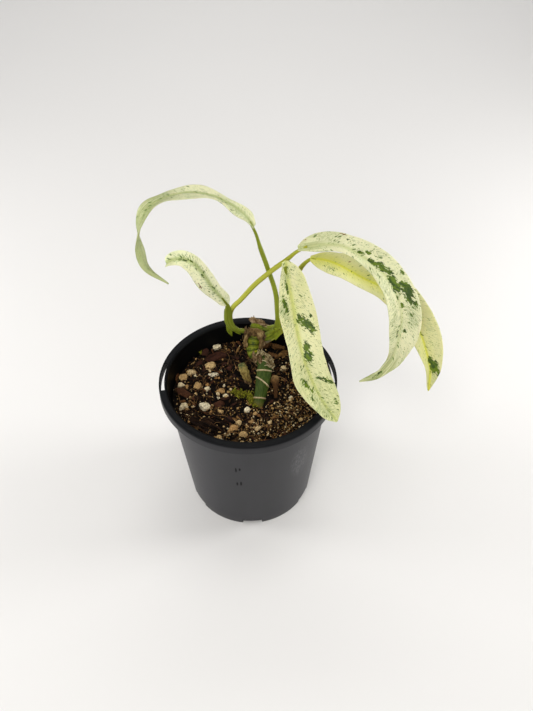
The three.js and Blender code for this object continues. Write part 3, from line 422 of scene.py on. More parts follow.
def tube(points, radii, side, sides, steps, shape=None):
    """Closed tube along a curve, with UV round and along it; shape swells it at each angle."""
    curve = Curve(points)
    rings, uv = [], [(0.5, 0)]
    for i in range(steps + 1):
        t = i / steps
        centre, along = curve.at(t), curve.along(t)
        lean = table(side, t) if isinstance(side[0], (list, tuple)) else np.array(side, float)
        across = square_to(lean, along)
        deep = np.cross(along, across)
        wide, depth = table(radii, t)
        ring = []
        for k in range(sides):
            angle = TURN * k / sides
            swell = shape(t, angle) if shape else 1.0
            ring.append(centre + across * wide * swell * math.cos(angle)
                        + deep * depth * swell * math.sin(angle))
            uv.append((k / sides, t))
        rings.append(ring)
    return *shell(curve.at(0), rings, curve.at(1)), uv + [(0.5, 1)]


class Batch:
    """Gathers many small shapes into one mesh, with a tint for each."""

    def __init__(self):
        self.points, self.faces, self.tint = [], [], []

    def add(self, points, faces, tint=0.5):
        count = len(self.tint)
        self.faces += [tuple(i + count for i in face) for face in faces]
        self.points.append(np.asarray(points, float))
        self.tint += [tint] * len(points)

    def add_tube(self, points, radii, side, sides, steps, tint):
        rings, faces, _ = tube(points, radii, side, sides, steps)
        self.add(rings, faces, tint)

    def build(self, name, smooth=True):
        points = np.concatenate(self.points)
        return make_mesh(name, points, self.faces, values={"tint": self.tint}, smooth=smooth)


# Materials
def operator(kind, swapped=False):
    return lambda self, other=0.0: self.nodes.math(kind, *((other, self) if swapped else (self, other)))


class Wire:
    """A node's output that takes arithmetic, so that a material reads like a formula."""

    def __init__(self, nodes, socket):
        self.nodes, self.socket = nodes, socket

    __add__ = __radd__ = operator("ADD")
    __mul__ = __rmul__ = operator("MULTIPLY")
    __sub__, __rsub__ = operator("SUBTRACT"), operator("SUBTRACT", True)
    __pow__, __abs__ = operator("POWER"), operator("ABSOLUTE")
    __gt__, __lt__ = operator("GREATER_THAN"), operator("LESS_THAN")


class Nodes:
    """A material's nodes. Inputs are wires, numbers or colours without alpha."""

    def __init__(self, name):
        self.material = bpy.data.materials.new(name)
        self.material.use_nodes = True
        self.tree = self.material.node_tree

    def put(self, socket, value):
        if isinstance(value, Wire):
            self.tree.links.new(value.socket, socket)
        else:
            socket.default_value = (*value, 1) if socket.type == "RGBA" else value

    def node(self, kind, inputs, output=0, **settings):
        node = self.tree.nodes.new("ShaderNode" + kind)
        for key, value in settings.items():
            setattr(node, key, value)
        for key, value in inputs.items():
            self.put(node.inputs[key], value)
        return Wire(self, node.outputs[output])

    def math(self, operation, a, b=0.0):
        return self.node("Math", {0: a, 1: b}, operation=operation)

    def ramp(self, value, low, high):
        inputs = {"Value": value, "From Min": low, "From Max": high}
        return self.node("MapRange", inputs, "Result", interpolation_type="SMOOTHSTEP")

    def mix(self, factor, a, b, blend="MIX"):
        return self.node("Mix", {0: factor, 6: a, 7: b}, 2, data_type="RGBA", blend_type=blend)

    def attribute(self, name):
        return self.node("Attribute", {}, "Fac", attribute_name=name)

    def uv(self):
        return self.node("UVMap", {})

    def place(self):
        return self.node("TexCoord", {}, "Object")

    def split(self, vector):
        first = self.node("SeparateXYZ", {0: vector})
        return [Wire(self, out) for out in first.socket.node.outputs]

    def join(self, x, y, z):
        return self.node("CombineXYZ", {0: x, 1: y, 2: z})

    def scaled(self, vector, *scale):
        return self.node("VectorMath", {0: vector, 1: scale}, operation="MULTIPLY")

    def noise(self, vector, scale, detail=3.0, rough=0.55):
        inputs = {"Vector": vector, "Scale": scale, "Detail": detail, "Roughness": rough}
        return self.node("TexNoise", inputs, "Fac")

    def cells(self, vector, scale, **settings):
        """Distance to the nearest cell centre, and the cell's random colour."""
        near = self.node("TexVoronoi", {"Vector": vector, "Scale": scale}, "Distance", **settings)
        return near, Wire(self, near.socket.node.outputs["Color"])

    def tones(self, value, tones):
        """Colour ramp through (place, colour)."""
        colour = self.node("ValToRGB", {0: value})
        stops = colour.socket.node.color_ramp.elements
        while len(stops) < len(tones):
            stops.new(0.5)
        for i, (at, tone) in enumerate(tones):
            stops[i].position = at
            stops[i].color = (*tone, 1)
        return colour

    def done(self, colour, roughness, shine, height=None, depth=0.0, strength=1.0, glow=0.0):
        """Shader with a bump of the height over the depth in metres, and light let in by glow."""
        shader = self.tree.nodes["Principled BSDF"].inputs
        self.put(shader["Base Color"], colour)
        self.put(shader["Roughness"], roughness)
        self.put(shader["Specular IOR Level"], shine)
        if height:
            bump = {"Height": height, "Distance": depth, "Strength": strength}
            self.put(shader["Normal"], self.node("Bump", bump))
        if glow:
            self.put(shader["Subsurface Weight"], glow)
            self.put(shader["Subsurface Scale"], GLOW_DEPTH)
        return self.material


def spots(n, vector, density):
    """Crisp spots, one to a cell, on the share of cells given by density."""
    distance, colour = n.cells(vector, 1.0, voronoi_dimensions="2D")
    chance, size, _ = n.split(colour)
    edge = 0.1 + size * 0.32 + (n.noise(vector, 2.6) - 0.5) * 0.34 - distance
    return (chance < density) * n.ramp(edge, -0.03, 0.05)


def leaf_material(name, seed, look):
    n = Nodes(name)
    place = n.scaled(n.uv(), UV_SPAN, UV_SPAN, 1)
    x, y, _ = n.split(place)
    side = x - UV_SPAN / 2
    away = abs(side)
    flow = y - away * 0.9
    green, grey, blotch = (n.attribute(key) for key in ("green", "grey", "blotch"))

    def lengthwise(along, outward, shift=0.0, detail=3.0, rough=0.55):
        return n.noise(n.join(y * along, side * outward, seed + shift), 1.0, detail, rough)

    def veined(along, outward, shift=0.0, bend=0.0):
        a, b = flow * along, side * outward
        if bend:
            a = a + n.noise(place, 0.55, 4.0, 0.7) * bend
            b = b + n.noise(n.scaled(place, 1.3, 1.3, 1), 0.55, 4.0, 0.7) * bend
        return n.join(a + (seed + shift), b, seed + shift)

    def chances(*where):
        return n.split(n.cells(veined(*where), 1.0, voronoi_dimensions="2D")[1])

    broad = lengthwise(0.045, 0.07)
    patch = n.noise(veined(0.1, 0.1, 5.0), 1.0, 3, 0.6)
    colour = n.mix(n.ramp(broad, 0.4, 0.66) * 0.7, look["tint"], look["shade"])
    # Faint side veins, yellow-green midrib
    line = n.math("SINE", (flow + broad * 3.0) * 2.6)
    colour = n.mix(n.ramp(line, 0.5, 1.0) * 0.06, colour, look["shade"])
    near = 0.3 + n.ramp(y, 110.0, 55.0) * 0.7
    colour = n.mix(n.ramp(away, look["glow"], 1.0) * 0.5 * near, colour, look["vein"])
    colour = n.mix(n.ramp(away, 1.7, 0.5) * look["rib"], colour, look["vein"])
    # Soft grey-green clouds and hatching along the side veins
    hatch = n.noise(veined(1.3, 0.3, 2.0), 1.0, 4.0, 0.65)
    level = hatch + n.ramp(patch, 0.45, 0.7) * (0.08 * look["speckle"]) + green * 0.06 + grey * 0.16
    colour = n.mix(n.ramp(level, 0.58, 0.69) * 0.62, colour, (0.33, 0.39, 0.18))
    # Fine crinkles, as faint darker threads along the side veins: painted shade in the crinkles' furrows
    crinkle_shade = n.noise(veined(0.75, 0.3, 8.0, 1.6), 1.0, 3.0, 0.6)
    colour = n.mix(n.ramp(abs(crinkle_shade - 0.5), 0.035, 0.0) * 0.2, colour, (0.4, 0.44, 0.19))
    # Darker stretches with lengthwise streaks, partly painted shade and partly grey-green tissue: from, to
    # and strength
    streaks = 0.45 + n.ramp(lengthwise(0.045, 0.85, 4.0, 4.0, 0.6), 0.42, 0.58) * 0.75
    for start, stop, amount in look["fade"]:
        colour = n.mix(n.ramp(y, start, stop) * amount * streaks, colour, (0.34, 0.38, 0.15))
    # Crisp specks and dashes
    mark = green + n.ramp(blotch, 0.03, 0.4) * 0.7 + grey * 0.5
    base = n.ramp(patch, 0.44, 0.66) * (0.3 * look["speckle"])
    fine = spots(n, veined(0.92, 0.74), 0.035 * look["speckle"] + base + mark * 0.3)
    colour = n.mix(fine * 0.78, colour, (0.16, 0.24, 0.028))
    dash = spots(n, veined(0.46, 0.34, 9.0, 0.8), base * 0.35 + mark * 0.26)
    colour = n.mix(dash * 0.88, colour, (0.07, 0.145, 0.008))
    # Dark green blotches: patches of ragged cells with crisp edges
    ragged = n.noise(veined(0.5, 0.45, 3.1), 1.0, 5.0, 0.7)
    reach = blotch + (ragged - 0.5) * 0.9
    large_chance, tone, _ = chances(0.36, 0.4, 1.7, 2.2)
    small_chance, fleck, gap = chances(0.85, 0.95, 6.3, 2.6)
    large = reach > 0.3 + large_chance * 0.42
    small = reach > 0.27 + small_chance * 0.72
    hole = gap + reach * 0.3 < 0.29
    body = n.mix(n.ramp(tone * 0.7 + fleck * 0.3, 0.25, 0.75), (0.024, 0.062, 0.004), (0.11, 0.185, 0.004))
    colour = n.mix(n.math("MAXIMUM", large, small) * (1.0 - hole) * 0.96, colour, body)
    brown = n.attribute("brown") + (hatch - 0.5) * 1.2
    colour = n.mix(n.ramp(brown, 0.45, 0.6), colour, (0.2, 0.1, 0.035))
    # Duller, greener back
    colour = n.mix(n.attribute("under") * look["back"], colour, (0.5, 0.55, 0.27))
    ribs = line * 0.12 + hatch * 0.8 + lengthwise(0.1, 0.9, rough=0.6) * 2.4
    return n.done(colour, 0.4 + hatch * 0.16, 0.18, ribs, 0.00036, 0.6, glow=0.06)


def round_and_along(n, around, along):
    """A tube's UV as u, v and a vector that runs round the tube with no seam."""
    u, v, _ = n.split(n.uv())
    angle = u * TURN
    return u, v, n.join(n.math("SINE", angle) * around, n.math("COSINE", angle) * around, v * along)


def stalk_material(name, base, pale, dark, seed, brown=0.05):
    n = Nodes(name)
    _, v, ring = round_and_along(n, 4.0, 1.6)
    lines = n.noise(ring, 1.0 + seed * 0.01, 4.0, 0.6)
    colour = n.mix(n.ramp(lines, 0.35, 0.65), base, pale)
    fleck = n.noise(n.place(), 900.0)
    colour = n.mix(n.ramp(fleck, 0.58, 0.72) * 0.4, colour, dark)
    colour = n.mix(n.ramp(v, 0.3, 0.0) * 0.55, colour, dark)
    foot = v + (fleck - 0.5) * 0.05
    colour = n.mix(n.ramp(foot, brown, brown - 0.03) * 0.9, colour, (0.07, 0.04, 0.015))
    return n.done(colour, 0.48, 0.16, lines, 0.0005, 0.5, glow=0.05)


def grain_material(name, tones, rough=0.9, scale=900.0, bump=0.0006, pits=0.0):
    """Colour by the tint of each grain, with fine mottling and a rough bump."""
    n = Nodes(name)
    fine = n.noise(n.place(), scale, 5.0, 0.65)
    shade = n.mix(n.ramp(fine, 0.3, 0.7), (0.55, 0.52, 0.5), (1.25, 1.25, 1.25))
    colour = n.mix(1.0, n.tones(n.attribute("tint"), tones), shade, "MULTIPLY")
    if pits:
        holes = n.ramp(n.cells(n.place(), 700.0)[0], 0.0, 0.35)
        colour = n.mix((1.0 - holes) * pits, colour, (0.2, 0.14, 0.08))
        fine = fine + holes
    return n.done(colour, rough, 0.15, fine, bump, 0.8)


def papery(name, dark, middle, pale):
    """Dried tissue with fine fibres."""
    n = Nodes(name)
    fibre = n.noise(n.scaled(n.place(), 1400.0, 300.0, 300.0), 1.0, 4.0, 0.6)
    mixed = fibre * 0.5 + n.noise(n.place(), 220.0) * 0.5
    colour = n.tones(n.ramp(mixed, 0.3, 0.7), ((0.0, dark), (0.5, middle), (1.0, pale)))
    return n.done(colour, 0.9, 0.08, mixed, 0.0006, 0.6)


def smooth_paper(name, dark, middle, pale):
    """Like papery, but with soft lines only."""
    n = Nodes(name)
    lines = n.noise(n.scaled(n.place(), 500.0, 500.0, 160.0), 1.0, 2.0, 0.5)
    mixed = lines * 0.45 + n.noise(n.place(), 160.0, 2.0) * 0.55
    colour = n.mix(n.ramp(mixed, 0.5, 0.66), n.mix(n.ramp(mixed, 0.36, 0.5), dark, middle), pale)
    return n.done(colour, 0.85, 0.08, mixed, 0.0004, 0.5)


# Frame and camera
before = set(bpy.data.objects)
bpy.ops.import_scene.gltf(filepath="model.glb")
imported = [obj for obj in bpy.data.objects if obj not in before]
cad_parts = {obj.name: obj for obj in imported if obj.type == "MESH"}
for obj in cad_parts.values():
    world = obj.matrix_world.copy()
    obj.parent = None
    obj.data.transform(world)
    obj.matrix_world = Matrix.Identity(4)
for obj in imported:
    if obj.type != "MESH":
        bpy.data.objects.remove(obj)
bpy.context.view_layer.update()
LENS = 36.06
CAMERA_AT = Vector((0.0, -0.4126, 0.5737))
CAMERA_PITCH, CAMERA_YAW, CAMERA_ROLL = 44.9, 2.17, -0.28


def make_camera():
    pitch, yaw, roll = (math.radians(v) for v in (CAMERA_PITCH, CAMERA_YAW, CAMERA_ROLL))
    ahead = Vector((math.sin(yaw) * math.cos(pitch), math.cos(yaw) * math.cos(pitch), -math.sin(pitch)))
    right = ahead.cross(Vector((0, 0, 1))).normalized()
    up = right.cross(ahead)
    side = math.cos(roll) * right + math.sin(roll) * up
    top = -math.sin(roll) * right + math.cos(roll) * up
    data = bpy.data.cameras.new("camera")
    data.lens, data.sensor_width, data.sensor_fit, data.clip_start = LENS, 36.0, "AUTO", 0.01
    camera = bpy.data.objects.new("camera", data)
    camera.matrix_world = Matrix.Translation(CAMERA_AT) @ Matrix((side, top, -ahead)).transposed().to_4x4()
    bpy.context.scene.collection.objects.link(camera)
    bpy.context.scene.camera = camera


# Floor and light; each light is place, aim, size, power and colour
FLOOR_HALF = 3000.0
WARM = (1.0, 0.99, 0.97)
LIGHTS = {
    "key": ((-0.30, -1.08, 2.0), (0, 0, 0.15), (1.1, 0.8), 17.0, WARM),
    "front": ((-0.45, -1.60, 0.95), (0, 0, 0.15), (0.9, 0.9), 15.0, WARM),
    "top": ((0.30, 0.35, 2.2), (0, 0, 0.15), (0.9, 0.9), 8.0, (1.0, 0.99, 0.98)),
    "fill_right": ((1.0, 0.15, 0.30), (0.02, 0, 0.08), (0.35, 0.7), 8.0, (1, 1, 1)),
    "fill_left": ((-1.0, 0.15, 0.30), (0, 0, 0.08), (0.35, 0.7), 6.0, (1, 1, 1)),
    "back": ((0.0, 1.5, 1.5), (0, 1.5, 0), (2.6, 0.8), 18.0, (1, 1, 1)),
}


def make_stage():
    corners = [(x * FLOOR_HALF, y * FLOOR_HALF, 0) for x, y in ((-1, -1), (1, -1), (1, 1), (-1, 1))]
    floor = make_mesh("floor", corners, [(0, 1, 2, 3)], smooth=False)
    n = Nodes("floor_paint")
    colour = n.mix(n.noise(n.place(), 2.0, 2.0), (0.78, 0.765, 0.745), (0.81, 0.795, 0.775))
    floor.data.materials.append(n.done(colour, 0.85, 0.5))
    for name, (place, aim, size, power, colour) in LIGHTS.items():
        data = bpy.data.lights.new(name, "AREA")
        data.shape = "RECTANGLE"
        data.size, data.size_y = size
        data.energy, data.color = power, colour
        lamp = bpy.data.objects.new(name, data)
        lamp.location = place
        lamp.rotation_euler = (Vector(aim) - Vector(place)).to_track_quat("-Z", "Y").to_euler()
        bpy.context.scene.collection.objects.link(lamp)
    world = bpy.context.scene.world or bpy.data.worlds.new("world")
    bpy.context.scene.world = world
    world.use_nodes = True
    sky = world.node_tree.nodes["Background"].inputs
    sky[0].default_value, sky[1].default_value = (0.95, 0.96, 1.0, 1), 0.07
    bpy.context.scene.view_settings.view_transform = "Standard"


# Pot
def wall_outer(z):
    return BASE_RADIUS + (NECK_RADIUS - BASE_RADIUS) * z / POT_HEIGHT


def soil_radius(z):
    return wall_outer(z) - WALL - GAP


def arc_block(inner, outer, start, stop, low, high, steps=12):
    points = []
    for i in range(steps + 1):
        a = math.radians(start + (stop - start) * i / steps)
        points += [polar(r, a, z) for r, z in ((inner, low), (outer, low), (outer, high), (inner, high))]
    end = 4 * steps
    faces = [face for i in range(steps) for face in band(4 * i, 4 * i + 4, 4)]
    return points, faces + [(3, 2, 1, 0), (end, end + 1, end + 2, end + 3)]


def pot_outline():
    """Rows of (radius, z) from under the pad, up the outside and down the inside."""
    under, low, top = POT_HEIGHT - FLANGE_THICK, POT_HEIGHT - SKIRT_DEPTH, FLOOR_THICK
    inner, rise, slope = RIM_RADIUS - SKIRT_WALL, GROOVE_RISE, GROOVE_SLOPE
    foot = [(PAD_RADIUS - 0.4, 0), (PAD_RADIUS, 0.15), (PAD_RADIUS + slope, rise),
            (GROOVE_OUTER - slope, rise), (GROOVE_OUTER, 0.15), (GROOVE_OUTER + 0.4, 0),
            (BASE_RADIUS - FOOT_ROUND - 0.5, 0), (BASE_RADIUS - 0.7, 0.35),
            (wall_outer(FOOT_ROUND) - 0.2, FOOT_ROUND - 0.4)]
    wall = [(wall_outer(z), z) for z in (FOOT_ROUND + 0.6, 12, 40, 80, 110, low, under)]
    rim = [(inner, under), (inner, low + 0.3), (inner + 0.3, low), (RIM_RADIUS - 0.3, low),
           (RIM_RADIUS, low + 0.3), (RIM_RADIUS, low + 4), (RIM_RADIUS, POT_HEIGHT - 1.1),
           (RIM_RADIUS - 0.35, POT_HEIGHT - 0.35),
           (RIM_RADIUS - 1.1, POT_HEIGHT), (SLOT_OUTER - 0.4, POT_HEIGHT), (FLANGE_INNER + 0.9, POT_HEIGHT),
           (FLANGE_INNER + 0.3, POT_HEIGHT - 0.3), (FLANGE_INNER, POT_HEIGHT - 0.9),
           (wall_outer(under) - WALL, under - 0.5)]
    inside = [(wall_outer(z) - WALL, z) for z in (100, 60, 20, top + slope)]
    floor = [(BASE_RADIUS - WALL - 0.5, top), (GROOVE_OUTER + 0.5, top),
             (GROOVE_OUTER - slope + 0.5, top + rise), (PAD_RADIUS + slope - 0.5, top + rise),
             (PAD_RADIUS - 0.5, top)]
    return foot + wall + rim + inside + floor


def pot_cuts():
    """Hanger slots through the flange, notches at the foot and drain holes in the groove."""
    cuts = Batch()
    under = POT_HEIGHT - FLANGE_THICK
    for start, stop in SLOT_SPANS:
        cuts.add(*arc_block(SLOT_INNER, SLOT_OUTER, start, stop, under - 2, POT_HEIGHT + 2))
    half = math.degrees(NOTCH_WIDTH / 2 / BASE_RADIUS)
    apart = 360 / NOTCH_COUNT
    for k in range(NOTCH_COUNT):
        middle = apart * k - 90
        cuts.add(*arc_block(GROOVE_OUTER + 5, BASE_RADIUS + 4, middle - half, middle + half,
                            -NOTCH_DEEP, NOTCH_HEIGHT, 8))
    for k in range(NOTCH_COUNT):
        x, y, _ = polar((PAD_RADIUS + GROOVE_OUTER) / 2, math.radians(apart * (k - 1)), 0)
        hole = [polar(DRAIN_RADIUS, TURN * i / DRAIN_SIDES, z) for z in (-3, 8) for i in range(DRAIN_SIDES)]
        ends = [tuple(reversed(range(DRAIN_SIDES))), tuple(range(DRAIN_SIDES, 2 * DRAIN_SIDES))]
        cuts.add(np.array(hole) + (x, y, 0), band(0, DRAIN_SIDES, DRAIN_SIDES) + ends)
    return make_mesh("cutter", np.concatenate(cuts.points), cuts.faces, smooth=False)


def make_pot():
    rows = [[polar(r, TURN * k / POT_SEGMENTS, z) for k in range(POT_SEGMENTS)] for r, z in pot_outline()]
    pot = make_mesh("pot_body", *shell((0, 0, 0), rows, (0, 0, FLOOR_THICK)))
    cutter = pot_cuts()
    for obj in (pot, cutter):
        skin = bmesh.new()
        skin.from_mesh(obj.data)
        bmesh.ops.recalc_face_normals(skin, faces=skin.faces)
        skin.to_mesh(obj.data)
        skin.free()
    modifier = pot.modifiers.new("cuts", "BOOLEAN")
    modifier.operation, modifier.solver, modifier.object = "DIFFERENCE", "EXACT", cutter
    mesh = bpy.data.meshes.new_from_object(pot.evaluated_get(bpy.context.evaluated_depsgraph_get()))
    pot.modifiers.clear()
    pot.data = mesh
    bpy.data.objects.remove(cutter, do_unlink=True)
    mesh.polygons.foreach_set("use_smooth", np.ones(len(mesh.polygons), bool))
    mesh.set_sharp_from_angle(angle=math.radians(SHARP_ANGLE))
    finish_piece(pot, pot_material(), ("pot",))


def pot_material():
    n = Nodes("pot_plastic")
    place = n.place()
    x, y, z = n.split(place)

    def above(height, soft):
        """One above a height, or one below it where soft is less than nought."""
        return n.ramp(z, (height - soft) * MM, (height + soft) * MM)

    dust = n.noise(place, 34.0, 4.0, 0.6)
    film = dust * 0.6 + n.noise(n.join(x * 60.0, y * 60.0, z * 7.0), 1.0, 3.0, 0.5) * 0.4
    # Greyer outside wall; the darker rim and the near-black inside are painted shade on the same plastic
    r = n.math("SQRT", x ** 2.0 + y ** 2.0)
    skin = r - ((BASE_RADIUS - 0.65) * MM + z * ((NECK_RADIUS - BASE_RADIUS) / POT_HEIGHT))
    outside = n.ramp(skin, -0.0001, 0.0001)
    skirt = n.ramp(r, (RIM_RADIUS - 0.5) * MM, (RIM_RADIUS - 0.2) * MM) * above(POT_HEIGHT - 1.75, -0.85)
    wall = n.math("MAXIMUM", outside * above(POT_HEIGHT - SKIRT_DEPTH, -0.3), skirt * 0.8)
    dark = n.mix(n.ramp(film, 0.3, 0.75), (0.0045, 0.005, 0.006), (0.0095, 0.0105, 0.012))
    grey = n.mix(n.ramp(film, 0.3, 0.75), (0.019, 0.0192, 0.0225), (0.027, 0.0272, 0.0315))
    colour = n.mix(wall, n.mix(1.0 - outside, dark, (0.0016, 0.0016, 0.0017)), grey)
    colour = n.mix(n.ramp(n.noise(place, 1500.0, 2.0), 0.68, 0.78) * 0.2, colour, (0.12, 0.11, 0.1))
    # Faint rubbed patch on the front right
    front = n.ramp(y, -0.03, -0.045)
    patch = ((x - 0.0415) * 120.0) ** 2.0 + ((z - 0.083) * 42.0) ** 2.0
    smear = n.noise(n.join(x * 560.0, y * 560.0, z * 260.0), 1.0, 5.0, 0.75)
    rub = n.ramp(patch, 1.3, 0.1) * front * n.ramp(smear, 0.38, 0.74)
    colour = n.mix(rub * 0.62, colour, (0.16, 0.16, 0.165))
    # Shade under the skirt, two pairs of small nicks on the front
    under = above(POT_HEIGHT - SKIRT_DEPTH - 4.4, 1.2) * outside * (1.0 - skirt)
    colour = n.mix(under * 0.8, colour, (0.004, 0.0042, 0.005))
    wall = wall * (1.0 - under * 0.8)
    for at_x, at_z, half in NICKS:
        near = ((x - at_x * MM) * 1150.0) ** 2.0 + ((z - at_z * MM) * (1000.0 / half)) ** 2.0
        nick = n.ramp(near + (smear - 0.5) * 1.6, 1.4, 0.5) * front
        colour = n.mix(nick, colour, (0.003, 0.0032, 0.004))
        wall = wall * (1.0 - nick)
    grain = n.noise(place, 2600.0, 2.0) + dust * 0.5
    return n.done(colour, 0.42 - wall * 0.06 + film * 0.12, 0.1 + wall * 0.2, grain, 0.00006, 0.6)


# Soil
def soil_height(x, y):
    mound = SOIL_MOUND * math.exp(-((x - 6) ** 2 + (y - 6) ** 2) / 900)
    bumps = math.sin(0.21 * x + 1.3) * math.sin(0.17 * y - 0.4) + 0.6 * math.sin(0.42 * x - 0.34 * y)
    calm = 1 - (math.hypot(x, y) / NECK_RADIUS) ** 4 * 0.5
    return SOIL_LEVEL + mound + SOIL_BUMP * bumps * calm


def fine_height(x, y):
    rough = noise.fractal(Vector((x * 0.22, y * 0.22, 1.7)), 0.9, 2.1, 4)
    hollow = sum(math.exp(-(((x - a) ** 2 + (y - b) ** 2) / (0.6 * r * r)) ** 2) for a, b, r in HOLLOWS)
    return soil_height(x, y) + 1.5 * rough - 2.6 * hollow


def make_soil_base():
    low = FLOOR_THICK + GAP + 0.2
    side = [(PAD_RADIUS, low), (PAD_RADIUS + 2, 5.2), (GROOVE_OUTER - 2, 5.2), (GROOVE_OUTER + 1, low),
            (soil_radius(2) - 1.6, low), (soil_radius(6) - 0.3, 6)]
    side += [(soil_radius(z) - 0.2, z) for z in (40, 80, 108)]
    angles = [TURN * k / SOIL_SECTORS for k in range(SOIL_SECTORS)]
    rows = [[polar(r, a, z) for a in angles] for r, z in side]
    edge = soil_radius(SOIL_LEVEL - 3) - 0.1
    for i in range(SOIL_RINGS, 0, -1):
        ring = [polar(edge * i / SOIL_RINGS, a, 0)[:2] for a in angles]
        rows.append([(x, y, fine_height(x, y)) for x, y in ring])
    points, faces = shell((0, 0, low), rows, (0, 0, fine_height(0, 0)))
    soil = make_mesh("soil_bed", points, faces, values={"tint": [0.5] * len(points)})
    # Near-black bed: partly dark fines, partly painted shade in the gaps between the grains
    tones = [(0.0, (0.002, 0.0011, 0.0006)), (1.0, (0.006, 0.003, 0.0015))]
    finish_piece(soil, grain_material("soil_fines_and_gap_shade", tones, 0.95, 420.0, 0.0012), ("soil",))


def ball(detail):
    """Icosahedron with its faces halved as many times as detail says."""
    t = (1 + math.sqrt(5)) / 2
    points = [np.array(p, float) / math.hypot(1, t) for p in
              ((-1, t, 0), (1, t, 0), (-1, -t, 0), (1, -t, 0), (0, -1, t), (0, 1, t), (0, -1, -t), (0, 1, -t),
               (t, 0, -1), (t, 0, 1), (-t, 0, -1), (-t, 0, 1))]
    faces = [(0, 11, 5), (0, 5, 1), (0, 1, 7), (0, 7, 10), (0, 10, 11), (1, 5, 9), (5, 11, 4),
             (11, 10, 2), (10, 7, 6), (7, 1, 8), (3, 9, 4), (3, 4, 2), (3, 2, 6), (3, 6, 8), (3, 8, 9),
             (4, 9, 5), (2, 4, 11), (6, 2, 10), (8, 6, 7), (9, 8, 1)]
    for _ in range(detail):
        middle, finer = {}, []

        def half(a, b):
            key = (min(a, b), max(a, b))
            if key not in middle:
                p = points[a] + points[b]
                points.append(p / np.linalg.norm(p))
                middle[key] = len(points) - 1
            return middle[key]

        for a, b, c in faces:
            ab, bc, ca = half(a, b), half(b, c), half(c, a)
            finer += [(a, ab, ca), (b, bc, ab), (c, ca, bc), (ab, bc, ca)]
        faces = finer
    return np.array(points), faces


BALLS = [ball(detail) for detail in range(4)]


def lump(seed):
    """Irregular grain: a ball pushed in and out by noise."""
    base, faces = BALLS[3]
    points = []
    for p in base:
        coarse = noise.noise(Vector(p) * 1.6 + Vector((seed, 0, 0)))
        fine = noise.noise(Vector(p) * 4.0 + Vector((0, seed, 0)))
        points.append(p * (1 + 0.56 * coarse + 0.175 * fine))
    return points, faces


def chip(rng, size, detail, cuts, depth=(0.45, 0.85), rough=0.06):
    """Broken grain: a ball cut flat on random sides, half lengths in size."""
    base, faces = BALLS[detail]
    points = base.copy()
    for _ in range(cuts):
        way = np.array([rng.gauss(0, 1) for _ in range(3)])
        way /= np.linalg.norm(way)
        over = np.maximum(points @ way - rng.uniform(*depth), 0.0)
        points = points - np.outer(over, way)
    seed = rng.uniform(0, 50)
    for i, p in enumerate(points):
        points[i] = p * (1 + rough * noise.noise(Vector(base[i]) * 3.5 + Vector((seed, 0, 0))))
    return points * np.array(size), faces


def kept_inside(points):
    """Draws points in to the soil's radius, so that nothing goes through the pot's wall."""
    points = np.array(points, float)
    reach = np.maximum(np.hypot(points[:, 0], points[:, 1]), 1e-6)
    points[:, :2] *= np.minimum(1.0, soil_radius(points[:, 2]) / reach)[:, None]
    return points


def sit(x, y, lift, points, yaw, tilt=0.0, roll=0.0):
    turn = Matrix.Rotation(yaw, 3, "Z") @ Matrix.Rotation(tilt, 3, "X") @ Matrix.Rotation(roll, 3, "Y")
    return kept_inside(points @ np.array(turn).T + np.array((x, y, soil_height(x, y) + lift)))


def within(spots, x, y, margin=0.0):
    return any(math.hypot(x - a, y - b) < r + margin for a, b, r in spots)


PLACED = tuple((x, y, 0.2 * (length + width)) for x, y, length, width, *_ in PERLITE + BARK)


def random_spot(rng, size, margin=0.0):
    """A place that is clear of the stems and, nine times in ten, of hollows and placed grains."""
    while True:
        r = (soil_radius(SOIL_LEVEL) - size - 0.6) * math.sqrt(rng.random())
        x, y, _ = polar(r, TURN * rng.random(), 0)
        if within(STANDING, x, y, size + margin):
            continue
        if rng.random() > 1 - ANYWHERE_CHANCE or not within(HOLLOWS + PLACED, x, y):
            return x, y


def tumbled(rng, batch, x, y, lift, shape, tint, tilt):
    points, faces = shape
    spin = (rng.uniform(0, 6.3), rng.uniform(-tilt, tilt), rng.uniform(-tilt, tilt))
    batch.add(sit(x, y, lift, points, *spin), faces, min(tint, 1.0))


def thread(rng, x, y, length, yaw, arch, thick, lift):
    """Fibre that arches over the soil, or None where it would leave the pot."""
    bend = rng.uniform(-0.35, 0.35)
    path = []
    for k in range(4):
        q = k / 3 - 0.5
        px = x + length * q * math.cos(yaw + bend * q)
        py = y + length * q * math.sin(yaw + bend * q)
        if math.hypot(px, py) > soil_radius(SOIL_LEVEL) - 1:
            return None
        path.append((px, py, soil_height(px, py) + lift + arch * (1 - 4 * q * q)))
    radii = [[0, thick * 0.5, thick * 0.4], [0.5, thick, thick * 0.6], [1, thick * 0.4, thick * 0.3]]
    points, faces, _ = tube(path, radii, (0.3, 0.2, 1), 6, 8)
    return kept_inside(points), faces


